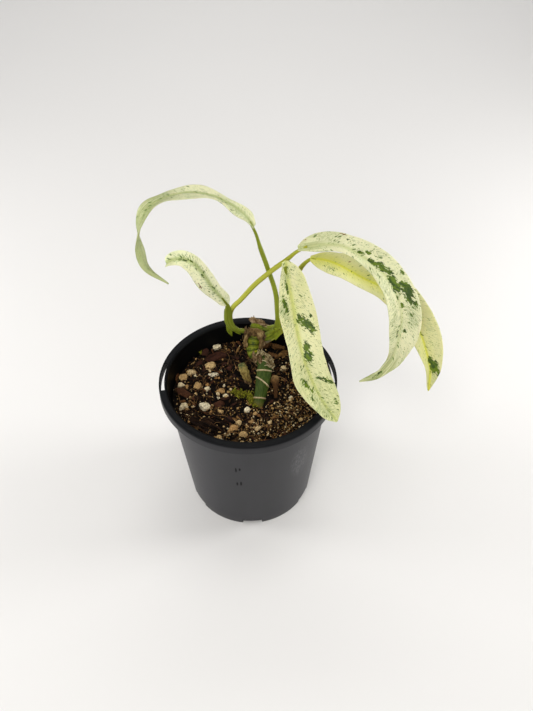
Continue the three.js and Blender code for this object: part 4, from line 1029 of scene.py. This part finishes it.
def make_soil_grains():
    rng = random.Random(SOIL_SEED)
    bark, dark, white, crumbs, fibres = Batch(), Batch(), Batch(), Batch(), Batch()
    for x, y, length, width, deep, turn, tint in BARK:
        points, faces = chip(rng, (length / 2, width / 2, deep / 2.6), 3, 10, (0.35, 0.75), 0.14)
        spin = (math.radians(turn), rng.uniform(-0.25, 0.35), 0.15)
        bark.add(sit(x, y, deep * 0.22, points, *spin), faces, tint)
    for x, y, length, width, deep, turn, tint in PERLITE:
        points, faces = chip(rng, (length / 1.9, width / 1.9, deep / 1.9), 3, 9, (0.5, 0.86), 0.18)
        white.add(sit(x, y, deep * 0.26, points, math.radians(turn)), faces, tint)
    # Medium and small bark, paler the higher it lies: painted shade darkens the lower grains
    for _ in range(BARK_COUNT):
        s = rng.uniform(1.4, 4.4)
        x, y = random_spot(rng, s * 0.6)
        lift = rng.uniform(-0.4, 2.6)
        size = (s * rng.uniform(0.7, 1.2), s * rng.uniform(0.22, 0.5), s * rng.uniform(0.16, 0.36))
        tint = rng.random() ** 1.3 * (0.45 + 0.21 * max(lift, 0))
        tumbled(rng, bark, x, y, lift, chip(rng, size, 2, 7, (0.3, 0.8), 0.14), tint, 0.8)
    for _ in range(CHIP_COUNT):
        s = rng.uniform(0.7, 2.1)
        x, y = random_spot(rng, s * 0.5)
        lift = rng.uniform(-0.6, 2.5)
        size = (s, s * rng.uniform(0.3, 0.7), s * rng.uniform(0.2, 0.5))
        # Paler with lift: painted shade on the lower chips
        tint = rng.random() * (0.5 + 0.2 * max(lift, 0))
        tumbled(rng, dark, x, y, lift, chip(rng, size, 1, 5, (0.35, 0.8), 0.1), tint, 0.9)
    # Perlite, the first few larger, fewer at the back
    for i in range(PERLITE_COUNT):
        s = rng.uniform(0.8, 1.7) if i >= LARGE_PERLITE else rng.uniform(1.6, 2.8)
        x, y = random_spot(rng, s)
        if y > 15 and rng.random() < 0.4:
            continue
        size = (s, s * rng.uniform(0.7, 0.95), s * rng.uniform(0.6, 0.9))
        tumbled(rng, white, x, y, rng.uniform(0.9, 2.2), chip(rng, size, 2, 8, (0.48, 0.85), 0.14),
                rng.random() ** 1.4, 1.0)
    # Fine pale crumbs, thickest at the front right
    for _ in range(CRUMB_COUNT):
        s = rng.uniform(0.25, 1.0)
        x, y = random_spot(rng, s)
        if rng.random() > 0.12 + 0.88 / (1 + math.exp(-(x - 0.9 * y - 28) / 9)):
            continue
        tumbled(rng, crumbs, x, y, rng.uniform(0.9, 2.6), chip(rng, (s, s * 0.8, s * 0.7), 0, 3),
                rng.random() ** 1.2, 1.0)
    for _ in range(FIBRE_COUNT):
        x, y = random_spot(rng, 5, 2)
        strand = thread(rng, x, y, rng.uniform(5, 16), rng.uniform(0, 6.3), rng.uniform(0.5, 3.0),
                        rng.uniform(0.14, 0.42), 1.2)
        if strand:
            fibres.add(*strand, rng.random())
    # Long dark strips of bark at the front left
    for _ in range(STRIP_COUNT):
        x, y = rng.gauss(-38, 9), rng.gauss(-35, 8)
        strand = thread(rng, x, y, rng.uniform(10, 24), rng.gauss(-0.5, 0.22), rng.uniform(0.2, 1.6),
                        rng.uniform(0.5, 1.5), 1.7)
        if strand:
            fibres.add(*strand, rng.random() ** 2.5 * 0.45)
    tones = [(0.0, (0.005, 0.0025, 0.0015)), (0.36, (0.046, 0.015, 0.0075)), (0.6, (0.098, 0.037, 0.012)),
             (0.8, (0.2, 0.105, 0.034)), (1.0, (0.42, 0.27, 0.11))]
    material = grain_material("bark_chips", tones, 0.75, 500.0, 0.0014)
    finish_piece(bark.build("soil_bark", False), material)
    tones = [(0.0, (0.003, 0.0016, 0.0009)), (0.4, (0.022, 0.01, 0.004)), (0.65, (0.085, 0.04, 0.012)),
             (0.85, (0.22, 0.12, 0.038)), (1.0, (0.46, 0.3, 0.115))]
    finish_piece(dark.build("soil_chips", False), grain_material("small_chips", tones, 0.85))
    tones = [(0.0, (0.4, 0.21, 0.07)), (0.4, (0.6, 0.42, 0.19)), (0.8, (0.72, 0.6, 0.37)),
             (1.0, (0.78, 0.7, 0.5))]
    material = grain_material("perlite", tones, 0.9, 800.0, pits=0.35)
    finish_piece(white.build("soil_perlite", False), material)
    tones = [(0.0, (0.1, 0.048, 0.012)), (0.5, (0.38, 0.22, 0.065)), (1.0, (0.8, 0.66, 0.38))]
    finish_piece(crumbs.build("soil_crumbs", False), grain_material("crumbs", tones))
    tones = [(0.0, (0.008, 0.004, 0.0025)), (0.5, (0.05, 0.022, 0.009)), (1.0, (0.32, 0.18, 0.07))]
    finish_piece(fibres.build("soil_fibres"), grain_material("fibres", tones))


# Stem and its dried remains
def ring_at(t, angle):
    return max([0.0] + [strength * hump(t - at - slant * math.cos(angle), 0.009)
                        for at, slant, strength in STEM_RINGS])


def stem_material():
    n = Nodes("stem_skin")
    u, v, skin = round_and_along(n, 7.0, 14.0)
    lines = n.noise(skin, 1.0, 5.0, 0.65)
    mottle = n.noise(n.place(), 320.0, 4.0, 0.6)
    uneven = mottle - 0.5
    zone = n.attribute("zone")
    green = n.mix(n.ramp(lines, 0.32, 0.66), (0.017, 0.036, 0.004), (0.052, 0.082, 0.01))
    green = n.mix(n.ramp(lines, 0.6, 0.66) * 0.5, green, (0.17, 0.18, 0.05))
    lime = n.mix(n.ramp(mottle, 0.35, 0.6), (0.045, 0.075, 0.006), (0.15, 0.17, 0.012))
    # Upper stem: bright rim on each old ring with a dark line above it, one yellow spot
    bands = n.math("SINE", (v + uneven * 0.02 - 0.705) * (TURN / 0.052))
    lime = n.mix(n.ramp(bands, 0.45, 0.95) * 0.6, lime, (0.23, 0.25, 0.018))
    lime = n.mix(n.ramp(bands, -0.55, -0.95) * 0.75, lime, (0.022, 0.03, 0.005))
    spot = ((u - 0.79) * 14.0) ** 2.0 + ((v - 0.7) * 60.0) ** 2.0
    lime = n.mix(n.ramp(spot, 1.3, 0.5), lime, (0.42, 0.38, 0.015))
    lime = n.mix(n.ramp(v, 0.925, 0.94) * 0.6, lime, (0.17, 0.21, 0.012))
    colour = n.mix(zone, green, lime)
    # Tan foot, dry rings, brown scars
    colour = n.mix(n.ramp(v, 0.24, 0.18) * 0.8, colour, (0.15, 0.125, 0.03))
    ring = n.attribute("ring") * (1.0 - zone * 0.75) + uneven * 1.1
    colour = n.mix(n.ramp(ring, 0.38, 0.6) * 0.9, colour, (0.33, 0.24, 0.11))
    brown = n.attribute("scar") + uneven * 1.6
    colour = n.mix(n.ramp(brown, 0.35, 0.55), colour, n.mix(lines, (0.05, 0.026, 0.01), (0.2, 0.12, 0.05)))
    return n.done(colour, 0.5, 0.12, lines * 0.8 + mottle * 0.6, 0.0006, 0.7, glow=0.04)


def make_stem():
    def shape(t, angle):
        furrow, swell = bark_noise(angle, t, 3.2, 7), bark_noise(angle, t, 1.2, 30)
        return 0.985 + 0.06 * ring_at(t, angle) + 0.018 * furrow + 0.02 * swell

    points, faces, uv = tube(STEM_POINTS, STEM_RADII, STEM_SIDE, *STEM_MESH, shape)
    values = {"ring": [ring_at(t, TURN * u) for u, t in uv],
              "zone": [limited((t - 0.66) / 0.05) for _, t in uv],
              "scar": [max(hump(t - 1.0, 0.02), hump(t - 0.655, 0.028), 0.3 * hump(t - 0.2, 0.03))
                       for _, t in uv]}
    finish_piece(make_mesh("stem_vine", points, faces, uv, values), stem_material(), ("stem",))


def make_root_and_stub():
    def gnarl(t, angle):
        return 0.93 + 0.2 * bark_noise(angle, t, 2, 9) + 0.09 * bark_noise(angle, t, 6, 34)

    def rooty(t, angle):
        return 0.14 + gnarl(t, angle) + 0.22 * hump(t - 0.12, 0.09)

    def knobbly(t, angle):
        return 0.04 + gnarl(t, angle) + 0.35 * max(0.0, bark_noise(angle, t, 3, 16))

    points, faces, uv = tube(ROOT_POINTS, ROOT_RADII, STEM_SIDE, *ROOT_MESH, rooty)
    root = make_mesh("root_air", points, faces, uv, {"tint": [limited(1.15 - 5.0 * t) for _, t in uv]})
    tones = [(0.0, (0.07, 0.031, 0.01)), (0.5, (0.14, 0.072, 0.025)), (1.0, (0.25, 0.155, 0.065))]
    finish_piece(root, grain_material("root_bark", tones, 0.85, 500.0, 0.0016), ("aerial_root",))
    points, faces, uv = tube(STUB_POINTS, STUB_RADII, STEM_SIDE, *STUB_MESH, knobbly)
    tint = [limited(t - 0.9 * max(0.0, bark_noise(TURN * u, t, 4, 13))) for u, t in uv]
    stub = make_mesh("stub_old", points, faces, uv, {"tint": tint})
    tones = [(0.0, (0.08, 0.045, 0.014)), (0.45, (0.24, 0.165, 0.045)), (0.8, (0.37, 0.29, 0.09)),
             (0.93, (0.15, 0.16, 0.055)), (1.0, (0.07, 0.09, 0.035))]
    material = grain_material("stub_skin", tones, 0.8, 420.0, 0.0018)
    finish_piece(stub, material, ("petiole_stub",))


def stem_frame(t):
    along = STEM.along(t)
    across = square_to(np.array(STEM_SIDE, float), along)
    return STEM.at(t), across, np.cross(along, across), table(STEM_RADII, t)[0]


def stem_side(t, degrees):
    """Centre of the stem, way out at an angle, and half width."""
    centre, across, deep, wide = stem_frame(limited(t))
    angle = math.radians(degrees)
    return centre, across * math.cos(angle) + deep * math.sin(angle), wide


def wrap_sheet(start, stop, low, high, lift, seed, ragged, holes=0.0, arch=0.0, bulge=0.0, folds=1.0):
    """Thin torn layer round the stem: angles in degrees, low and high along the stem."""
    points, faces = [], []
    for i in range(SHEET_ROWS + 1):
        for j in range(SHEET_COLUMNS + 1):
            q, p = j / SHEET_COLUMNS, i / SHEET_ROWS
            foot = low + arch * math.sin(math.pi * q)
            tear = ragged * rumple(q * 9 + seed, p * 0.8, seed) * (2 * p - 1)
            sway = 9 * rumple(seed, p * 5, 3.0) * (2 * q - 1)
            centre, out, wide = stem_side(foot + (high - foot) * p + tear, start + (stop - start) * q + sway)
            fold = 0.9 * rumple(q * 5, p * 3, seed) + 0.35 * rumple(q * 22, p * 5, seed)
            belly = bulge * math.sin(math.pi * min(1.0, 0.15 + p * 0.85))
            points.append(centre + out * (wide * 1.05 + GAP + lift + max(fold, -0.4) * 0.9 * folds + belly))
    for i in range(SHEET_ROWS):
        for j in range(SHEET_COLUMNS):
            if not (holes and rumple(j * 0.42, i * 0.55, seed * 2.0) > holes):
                a = i * (SHEET_COLUMNS + 1) + j
                faces.append((a, a + 1, a + SHEET_COLUMNS + 2, a + SHEET_COLUMNS + 1))
    return points, faces


def solid_sheet(name, *sheets):
    batch = Batch()
    for points, faces in sheets:
        batch.add(points, faces)
    obj = batch.build(name)
    modifier = obj.modifiers.new("thick", "SOLIDIFY")
    modifier.thickness, modifier.offset = SHEET_THICK * MM, 0
    return obj


def flakes_at(batch, rng, spots):
    """Small curled flakes of dried tissue: each spot is centre, way out, half width and length."""
    for centre, out, width, length in spots:
        out = np.array(out, float)
        out = out / np.linalg.norm(out)
        lean = square_to(np.array((rng.uniform(-1, 1), rng.uniform(-1, 1), rng.uniform(-0.4, 1))), out)
        start = centre - lean * length * 0.5
        end = centre + lean * length * 0.5 + out * rng.uniform(0.2, 1.2)
        middle = (start + end) / 2 + out * rng.uniform(-0.4, 0.9)
        radii = [[0, width * 0.5, 0.25], [0.35, width, 0.28], [0.75, width * 0.75, 0.22], [1, 0.15, 0.08]]
        points, faces, _ = tube([start, middle, end], radii, np.cross(lean, out), 10, 12)
        points = [p + out * 0.35 * noise.noise(Vector(p) * 0.9) for p in points]
        batch.add(points, faces, rng.random())


def around_stem(rng, count, low, high, start, stop, width, length, reach=1.02):
    flakes = []
    for _ in range(count):
        centre, out, wide = stem_side(rng.uniform(low, high), rng.uniform(start, stop))
        flakes.append((centre + out * wide * reach, out, rng.uniform(*width), rng.uniform(*length)))
    return flakes


def around_stalk(rng, count, leaf, low, high, width, length):
    """Flakes on the side of a stalk's base that shows."""
    curve = Curve(LEAVES[leaf]["petiole"])
    flakes = []
    for _ in range(count):
        t = rng.uniform(low, high)
        reach = max(table(LEAVES[leaf]["petiole_radii"], t)) + 0.2
        out = square_to(np.array((rng.uniform(-0.5, 0.5), -0.8, 0.6)), curve.along(t))
        flakes.append((curve.at(t) + out * reach, out, rng.uniform(*width), rng.uniform(*length)))
    return flakes


def around_stub(rng):
    foot = Curve(STUB_POINTS)
    return [(foot.at(rng.uniform(0.3, 0.6)) + np.array((rng.uniform(-3.5, 1.5), rng.uniform(-4.5, -2.5), 0)),
             (-0.3, -0.8, 0.5), rng.uniform(0.8, 1.7), rng.uniform(2.5, 4.5)) for _ in range(STUB_FLAKES)]


def make_sheets():
    paper = smooth_paper("sheath_paper", (0.028, 0.015, 0.005), (0.115, 0.07, 0.026), (0.28, 0.195, 0.085))
    crown = solid_sheet("crown_wrap",
                        wrap_sheet(-174, -10, 0.785, 0.93, 0.8, 1.3, 0.012, arch=0.085, bulge=1.3, folds=0.4),
                        wrap_sheet(-178, -128, 0.775, 0.91, 1.3, 7.7, 0.018, bulge=0.8),
                        wrap_sheet(-52, -4, 0.745, 0.90, 1.0, 9.2, 0.02, bulge=0.8),
                        wrap_sheet(-150, -60, 0.90, 0.94, 1.7, 4.1, 0.008, bulge=0.3, folds=0.5))
    finish_piece(crown, paper, ("crown_sheath",))
    paper = papery("sheath_fibre", (0.05, 0.032, 0.013), (0.17, 0.12, 0.055), (0.36, 0.28, 0.15))
    fibre = solid_sheet("fibre_wrap",
                        wrap_sheet(-74, 22, 0.525, 0.655, 0.15, 2.2, 0.014, -0.06),
                        wrap_sheet(-50, 30, 0.53, 0.66, 0.7, 5.4, 0.02, -0.14))
    finish_piece(fibre, paper, ("fibre_sheath",))


def make_strands(rng):
    """Open net of fibres on the right, and cords round the stem."""
    strands = Batch()
    for _ in range(NET_COUNT):
        t0, a0 = rng.uniform(0.53, 0.685), rng.uniform(-78, 20)
        path = []
        for k in range(4):
            t = t0 + rng.uniform(-0.012, 0.012) + (k - 1.5) * rng.uniform(-0.004, 0.014)
            centre, out, wide = stem_side(t, a0 + (k - 1.5) * rng.uniform(8, 22))
            path.append(centre + out * (wide * 1.05 + rng.uniform(0.8, 2.4)))
        radii = [[0, 0.14, 0.14], [0.5, 0.27, 0.24], [1, 0.1, 0.1]]
        strands.add_tube(path, radii, (0.2, 0.3, 1), 5, 8, rng.random())
    for t0, slant, start, stop, thick in CORDS:
        path = []
        for k in range(9):
            degrees = start + (stop - start) * k / 8
            centre, out, wide = stem_side(t0 + slant * math.cos(math.radians(degrees)), degrees)
            path.append(centre + out * (wide * 1.05 + thick * 0.5))
        radii = [[0, 0.2, 0.2], [0.5, thick, thick * 0.75], [1, 0.2, 0.2]]
        strands.add_tube(path, radii, (0.2, 0.3, 1), 6, 24, 0.8)
    tones = [(0.0, (0.16, 0.11, 0.05)), (0.5, (0.4, 0.32, 0.17)), (1.0, (0.7, 0.61, 0.39))]
    material = grain_material("strand_skin", tones, 0.85, bump=0.0003)
    finish_piece(strands.build("sheath_strands"), material)


def make_cap(rng):
    """Papery lumps on the cut end, with a nub and spikes beside them."""
    cap = Batch()
    centre, across, deep, wide = stem_frame(1.0)
    axes = np.array((across, deep, np.cross(across, deep)))
    for size, shift, seed in CAP_LUMPS:
        points, faces = lump(seed)
        points = np.array([p * (1 + 0.16 * rumple(p[0] * 2.2, p[1] * 9, p[2] * 9)) for p in points])
        cap.add(centre + (points * size + shift) @ axes, faces, rng.random())
    for start, end, w in CAP_SPIKES:
        start, end = centre + start @ axes, centre + end @ axes
        radii = [[0, w, w * 0.6], [0.6, w * 0.6, w * 0.4], [1, 0.15, 0.1]]
        path = [start, (start + end) / 2 + deep * 0.4, end]
        cap.add_tube(path, radii, (0.2, 0.9, 0.3), 10, 12, rng.random())
    paper = papery("cap_paper", (0.09, 0.05, 0.022), (0.25, 0.165, 0.085), (0.44, 0.34, 0.21))
    finish_piece(cap.build("crown_cap"), paper)


def make_bits(rng):
    """Dried bits at the neck, beside the strap and over the bases of the stalks."""
    bits = Batch()
    for row in STEM_FLAKES:
        flakes_at(bits, rng, around_stem(rng, *row))
    flakes_at(bits, rng, around_stub(rng))
    for row in STALK_FLAKES:
        flakes_at(bits, rng, around_stalk(rng, *row))
    paper = papery("remains", (0.022, 0.012, 0.005), (0.11, 0.066, 0.029), (0.34, 0.245, 0.13))
    finish_piece(bits.build("dried_bits"), paper)


def make_flaps(rng):
    flaps = Batch()
    for path, radii, side in FLAPS:
        flaps.add_tube(path, radii, side, 20, 24, rng.random())
    tones = [(0.0, (0.13, 0.17, 0.01)), (1.0, (0.22, 0.26, 0.02))]
    finish_piece(flaps.build("stalk_flaps"), grain_material("flap_skin", tones, 0.5, 300.0, 0.0003))


def make_moss():
    rng = random.Random(MOSS_SEED)
    moss = Batch()
    for x0, y0, spread, count in TUFTS:
        wide = 1.2 if spread > 3 else 0.8
        for _ in range(count):
            x, y = rng.gauss(x0, spread * 0.45), rng.gauss(y0, spread * 0.35)
            if within([MOSS_CLEAR], x, y):
                continue
            raised = 1.8 if spread < 2.5 and x > 0 else 1.0
            height = rng.uniform(0.8, 3.2) * wide
            base = np.array((x, y, soil_height(x, y) + rng.uniform(0.3, 2.6) * raised))
            for _ in range(3):
                yaw, lean = rng.uniform(0, 6.3), rng.uniform(0.2, 1.1)
                tip = base + np.array(polar(lean, yaw, 1.0)) * height * 0.6
                middle = (base + tip) / 2 + np.array((0, 0, 0.15))
                radii = [[0, 0.12, 0.08], [0.5, rng.uniform(0.25, 0.55), 0.14], [1, 0.05, 0.04]]
                side = (-math.sin(yaw), math.cos(yaw), 0)
                moss.add_tube([base, middle, tip], radii, side, 6, 4, rng.random())
    tones = [(0.0, (0.06, 0.064, 0.005)), (0.6, (0.2, 0.2, 0.012)), (1.0, (0.42, 0.41, 0.04))]
    finish_piece(moss.build("moss"), grain_material("moss_leaf", tones, 0.7, bump=0.0003))


# Leaves
def field(marks, s, x):
    value = 0.0
    for along, across, long_, wide, turn, strength in marks:
        ds, dx = s - along, x - across
        a = ds * math.cos(turn) + dx * math.sin(turn)
        b = dx * math.cos(turn) - ds * math.sin(turn)
        value = max(value, strength * math.exp(-((a / long_) ** 2 + (b / wide) ** 2) * 0.75))
    return value


def make_blade(name, leaf, material):
    curve = Curve(leaf["midrib"])
    upper, lower, uv = [], [], []
    values = {"green": [], "blotch": [], "grey": [], "brown": []}
    for i in range(BLADE_STATIONS + 1):
        t = i / BLADE_STATIONS
        s = t * curve.length
        along = curve.along(t)
        across = square_to(table(leaf["across"], t), along)
        face = np.cross(along, across) * leaf["face"]
        right, left = table(leaf["half_widths"], t)
        rib = (RIB_BASE + (RIB_TIP - RIB_BASE) * t) * 0.95
        for j in range(-BLADE_CELLS, BLADE_CELLS + 1):
            part = math.copysign(abs(j / BLADE_CELLS) ** CELL_SPREAD, j)
            half = right if j > 0 else left
            reach = max(half, 0.5) * part
            phase = leaf["phase"] + (0 if part > 0 else leaf["shift"])
            wave = leaf["wave"] * part * part * math.sin(TURN * leaf["waves"] * t + phase)
            lift = abs(reach) * math.tan(math.radians(leaf["fold"])) + wave * min(1, half / 6)
            quilt = 0.16 * math.sin((s - 1.1 * abs(reach)) * 1.35 + leaf["phase"]) * min(1, abs(reach) / 5)
            nibble = 0.25 * rumple(s * 0.14, j * 3.0, leaf["phase"]) if abs(j) == BLADE_CELLS else 0
            middle = curve.at(t) + across * (reach + nibble) + face * (lift + quilt * (1 - abs(part)))
            edge = BLADE_THICK / 2 * (1 - 0.55 * abs(part) ** 6)
            upper.append(middle + face * (edge - 0.28 * hump(reach, 0.9)))
            lower.append(middle - face * (edge + rib * hump(reach, 1.5)))
            uv.append((0.5 + reach / UV_SPAN, s / UV_SPAN))
            for key, data in values.items():
                data.append(field(MARKS[name].get(key, ()), s, reach))
    wide, count = 2 * BLADE_CELLS + 1, len(uv)
    faces = []
    for i in range(BLADE_STATIONS):
        for a in range(i * wide, i * wide + wide - 1):
            faces.append((a, a + wide, a + wide + 1, a + 1))
            faces.append((a + count, a + 1 + count, a + wide + 1 + count, a + wide + count))
    rim = list(range(wide - 1)) + [i * wide + wide - 1 for i in range(BLADE_STATIONS)]
    rim += [BLADE_STATIONS * wide + j for j in range(wide - 1, 0, -1)]
    rim += [i * wide for i in range(BLADE_STATIONS, 0, -1)]
    for a, b in zip(rim, rim[1:] + rim[:1]):
        faces.append((a, b, b + count, a + count))
    if leaf["face"] < 0:
        faces = [face[::-1] for face in faces]
    values = {key: data * 2 for key, data in values.items()}
    values["under"] = [0.0] * count + [1.0] * count
    finish_piece(make_mesh(name + "_blade", upper + lower, faces, uv * 2, values), material, (name,))


def make_stalk(name, leaf, sheath, material):
    def shape(t, angle):
        groove = 0.10 * max(0.0, math.cos(angle + 0.6)) ** 6
        wing = 0.10 * hump(math.cos(angle) ** 2 - 1, 0.12) if t < sheath else 0.0
        line = 0.02 * math.sin(angle * 9) * (1 if t < sheath else 0.3)
        return 0.97 - groove + wing + line

    path = (leaf["petiole"], leaf["petiole_radii"], leaf["petiole_side"])
    points, faces, uv = tube(*path, *STALK_MESH, shape)
    finish_piece(make_mesh(name + "_stalk", points, faces, uv), material, (name,))


make_camera()
make_stage()
make_pot()
make_soil_base()
make_soil_grains()
make_stem()
make_root_and_stub()
sheath_rng = random.Random(SHEATH_SEED)
make_sheets()
make_strands(sheath_rng)
make_cap(sheath_rng)
make_bits(sheath_rng)
make_flaps(sheath_rng)
make_moss()

LIME = ((0.29, 0.31, 0.022), (0.43, 0.43, 0.06), (0.1, 0.12, 0.008))
lime_stalk = stalk_material("stalk_lime", *LIME, 1)
hidden_stalk = stalk_material("stalk_hidden", *LIME, 4, 0.19)
deep_stalk = stalk_material("stalk_deep", (0.17, 0.21, 0.012), (0.28, 0.32, 0.035), (0.055, 0.085, 0.004), 2)
strap_stalk = stalk_material("stalk_strap", (0.135, 0.17, 0.008), (0.24, 0.275, 0.035),
                             (0.06, 0.095, 0.004), 3)
CREAM, BUTTER = (0.81, 0.80, 0.50), (0.81, 0.80, 0.45)
# Stretches darkened by painted shade, partly grey-green tissue, are rows of from, to and strength along the
# blade
LOOKS = {
    "leaf_1": dict(tint=CREAM, shade=(0.62, 0.65, 0.38), vein=(0.40, 0.45, 0.16), glow=3.0, rib=0.55,
                   speckle=1.2, stalk=deep_stalk, sheath=0.8, back=0.35,
                   fade=((64.0, 92.0, 0.95), (98.0, 112.0, 0.5), (42.0, 6.0, 0.25))),
    # leaf_2's paler tint and shade are painted light on a near-upright blade that the lamps above hardly
    # reach
    "leaf_2": dict(tint=(0.90, 0.90, 0.60), shade=(0.80, 0.82, 0.48), vein=(0.42, 0.50, 0.16), glow=3.0,
                   rib=0.5, speckle=0.6, stalk=strap_stalk, sheath=0.75, back=0.0, fade=()),
    "leaf_3": dict(tint=BUTTER, shade=(0.74, 0.745, 0.36), vein=(0.64, 0.67, 0.20), glow=4.0, rib=0.8,
                   speckle=0.55, stalk=deep_stalk, sheath=0.8, back=0.4, fade=((60.0, 116.0, 0.34),)),
    "leaf_4": dict(tint=CREAM, shade=(0.68, 0.70, 0.40), vein=(0.56, 0.60, 0.26), glow=3.0, rib=0.4,
                   speckle=0.9, stalk=lime_stalk, sheath=0.8, back=0.4,
                   fade=((42.0, 5.0, 0.65), (126.0, 160.0, 0.85))),
    # leaf_5's darker tint and shade are painted shade; its wide yellow midrib glow is partly its own colour
    # and partly painted shade
    "leaf_5": dict(tint=(0.68, 0.665, 0.33), shade=(0.62, 0.61, 0.23), vein=(0.66, 0.65, 0.06), glow=9.0,
                   rib=0.8, speckle=0.5, stalk=hidden_stalk, sheath=0.85, back=0.4, fade=()),
}
for index, (leaf_name, leaf_data) in enumerate(LEAVES.items()):
    leaf_look = LOOKS[leaf_name]
    make_blade(leaf_name, leaf_data, leaf_material(leaf_name + "_skin", index * 7.3, leaf_look))
    make_stalk(leaf_name, leaf_data, leaf_look["sheath"], leaf_look["stalk"])
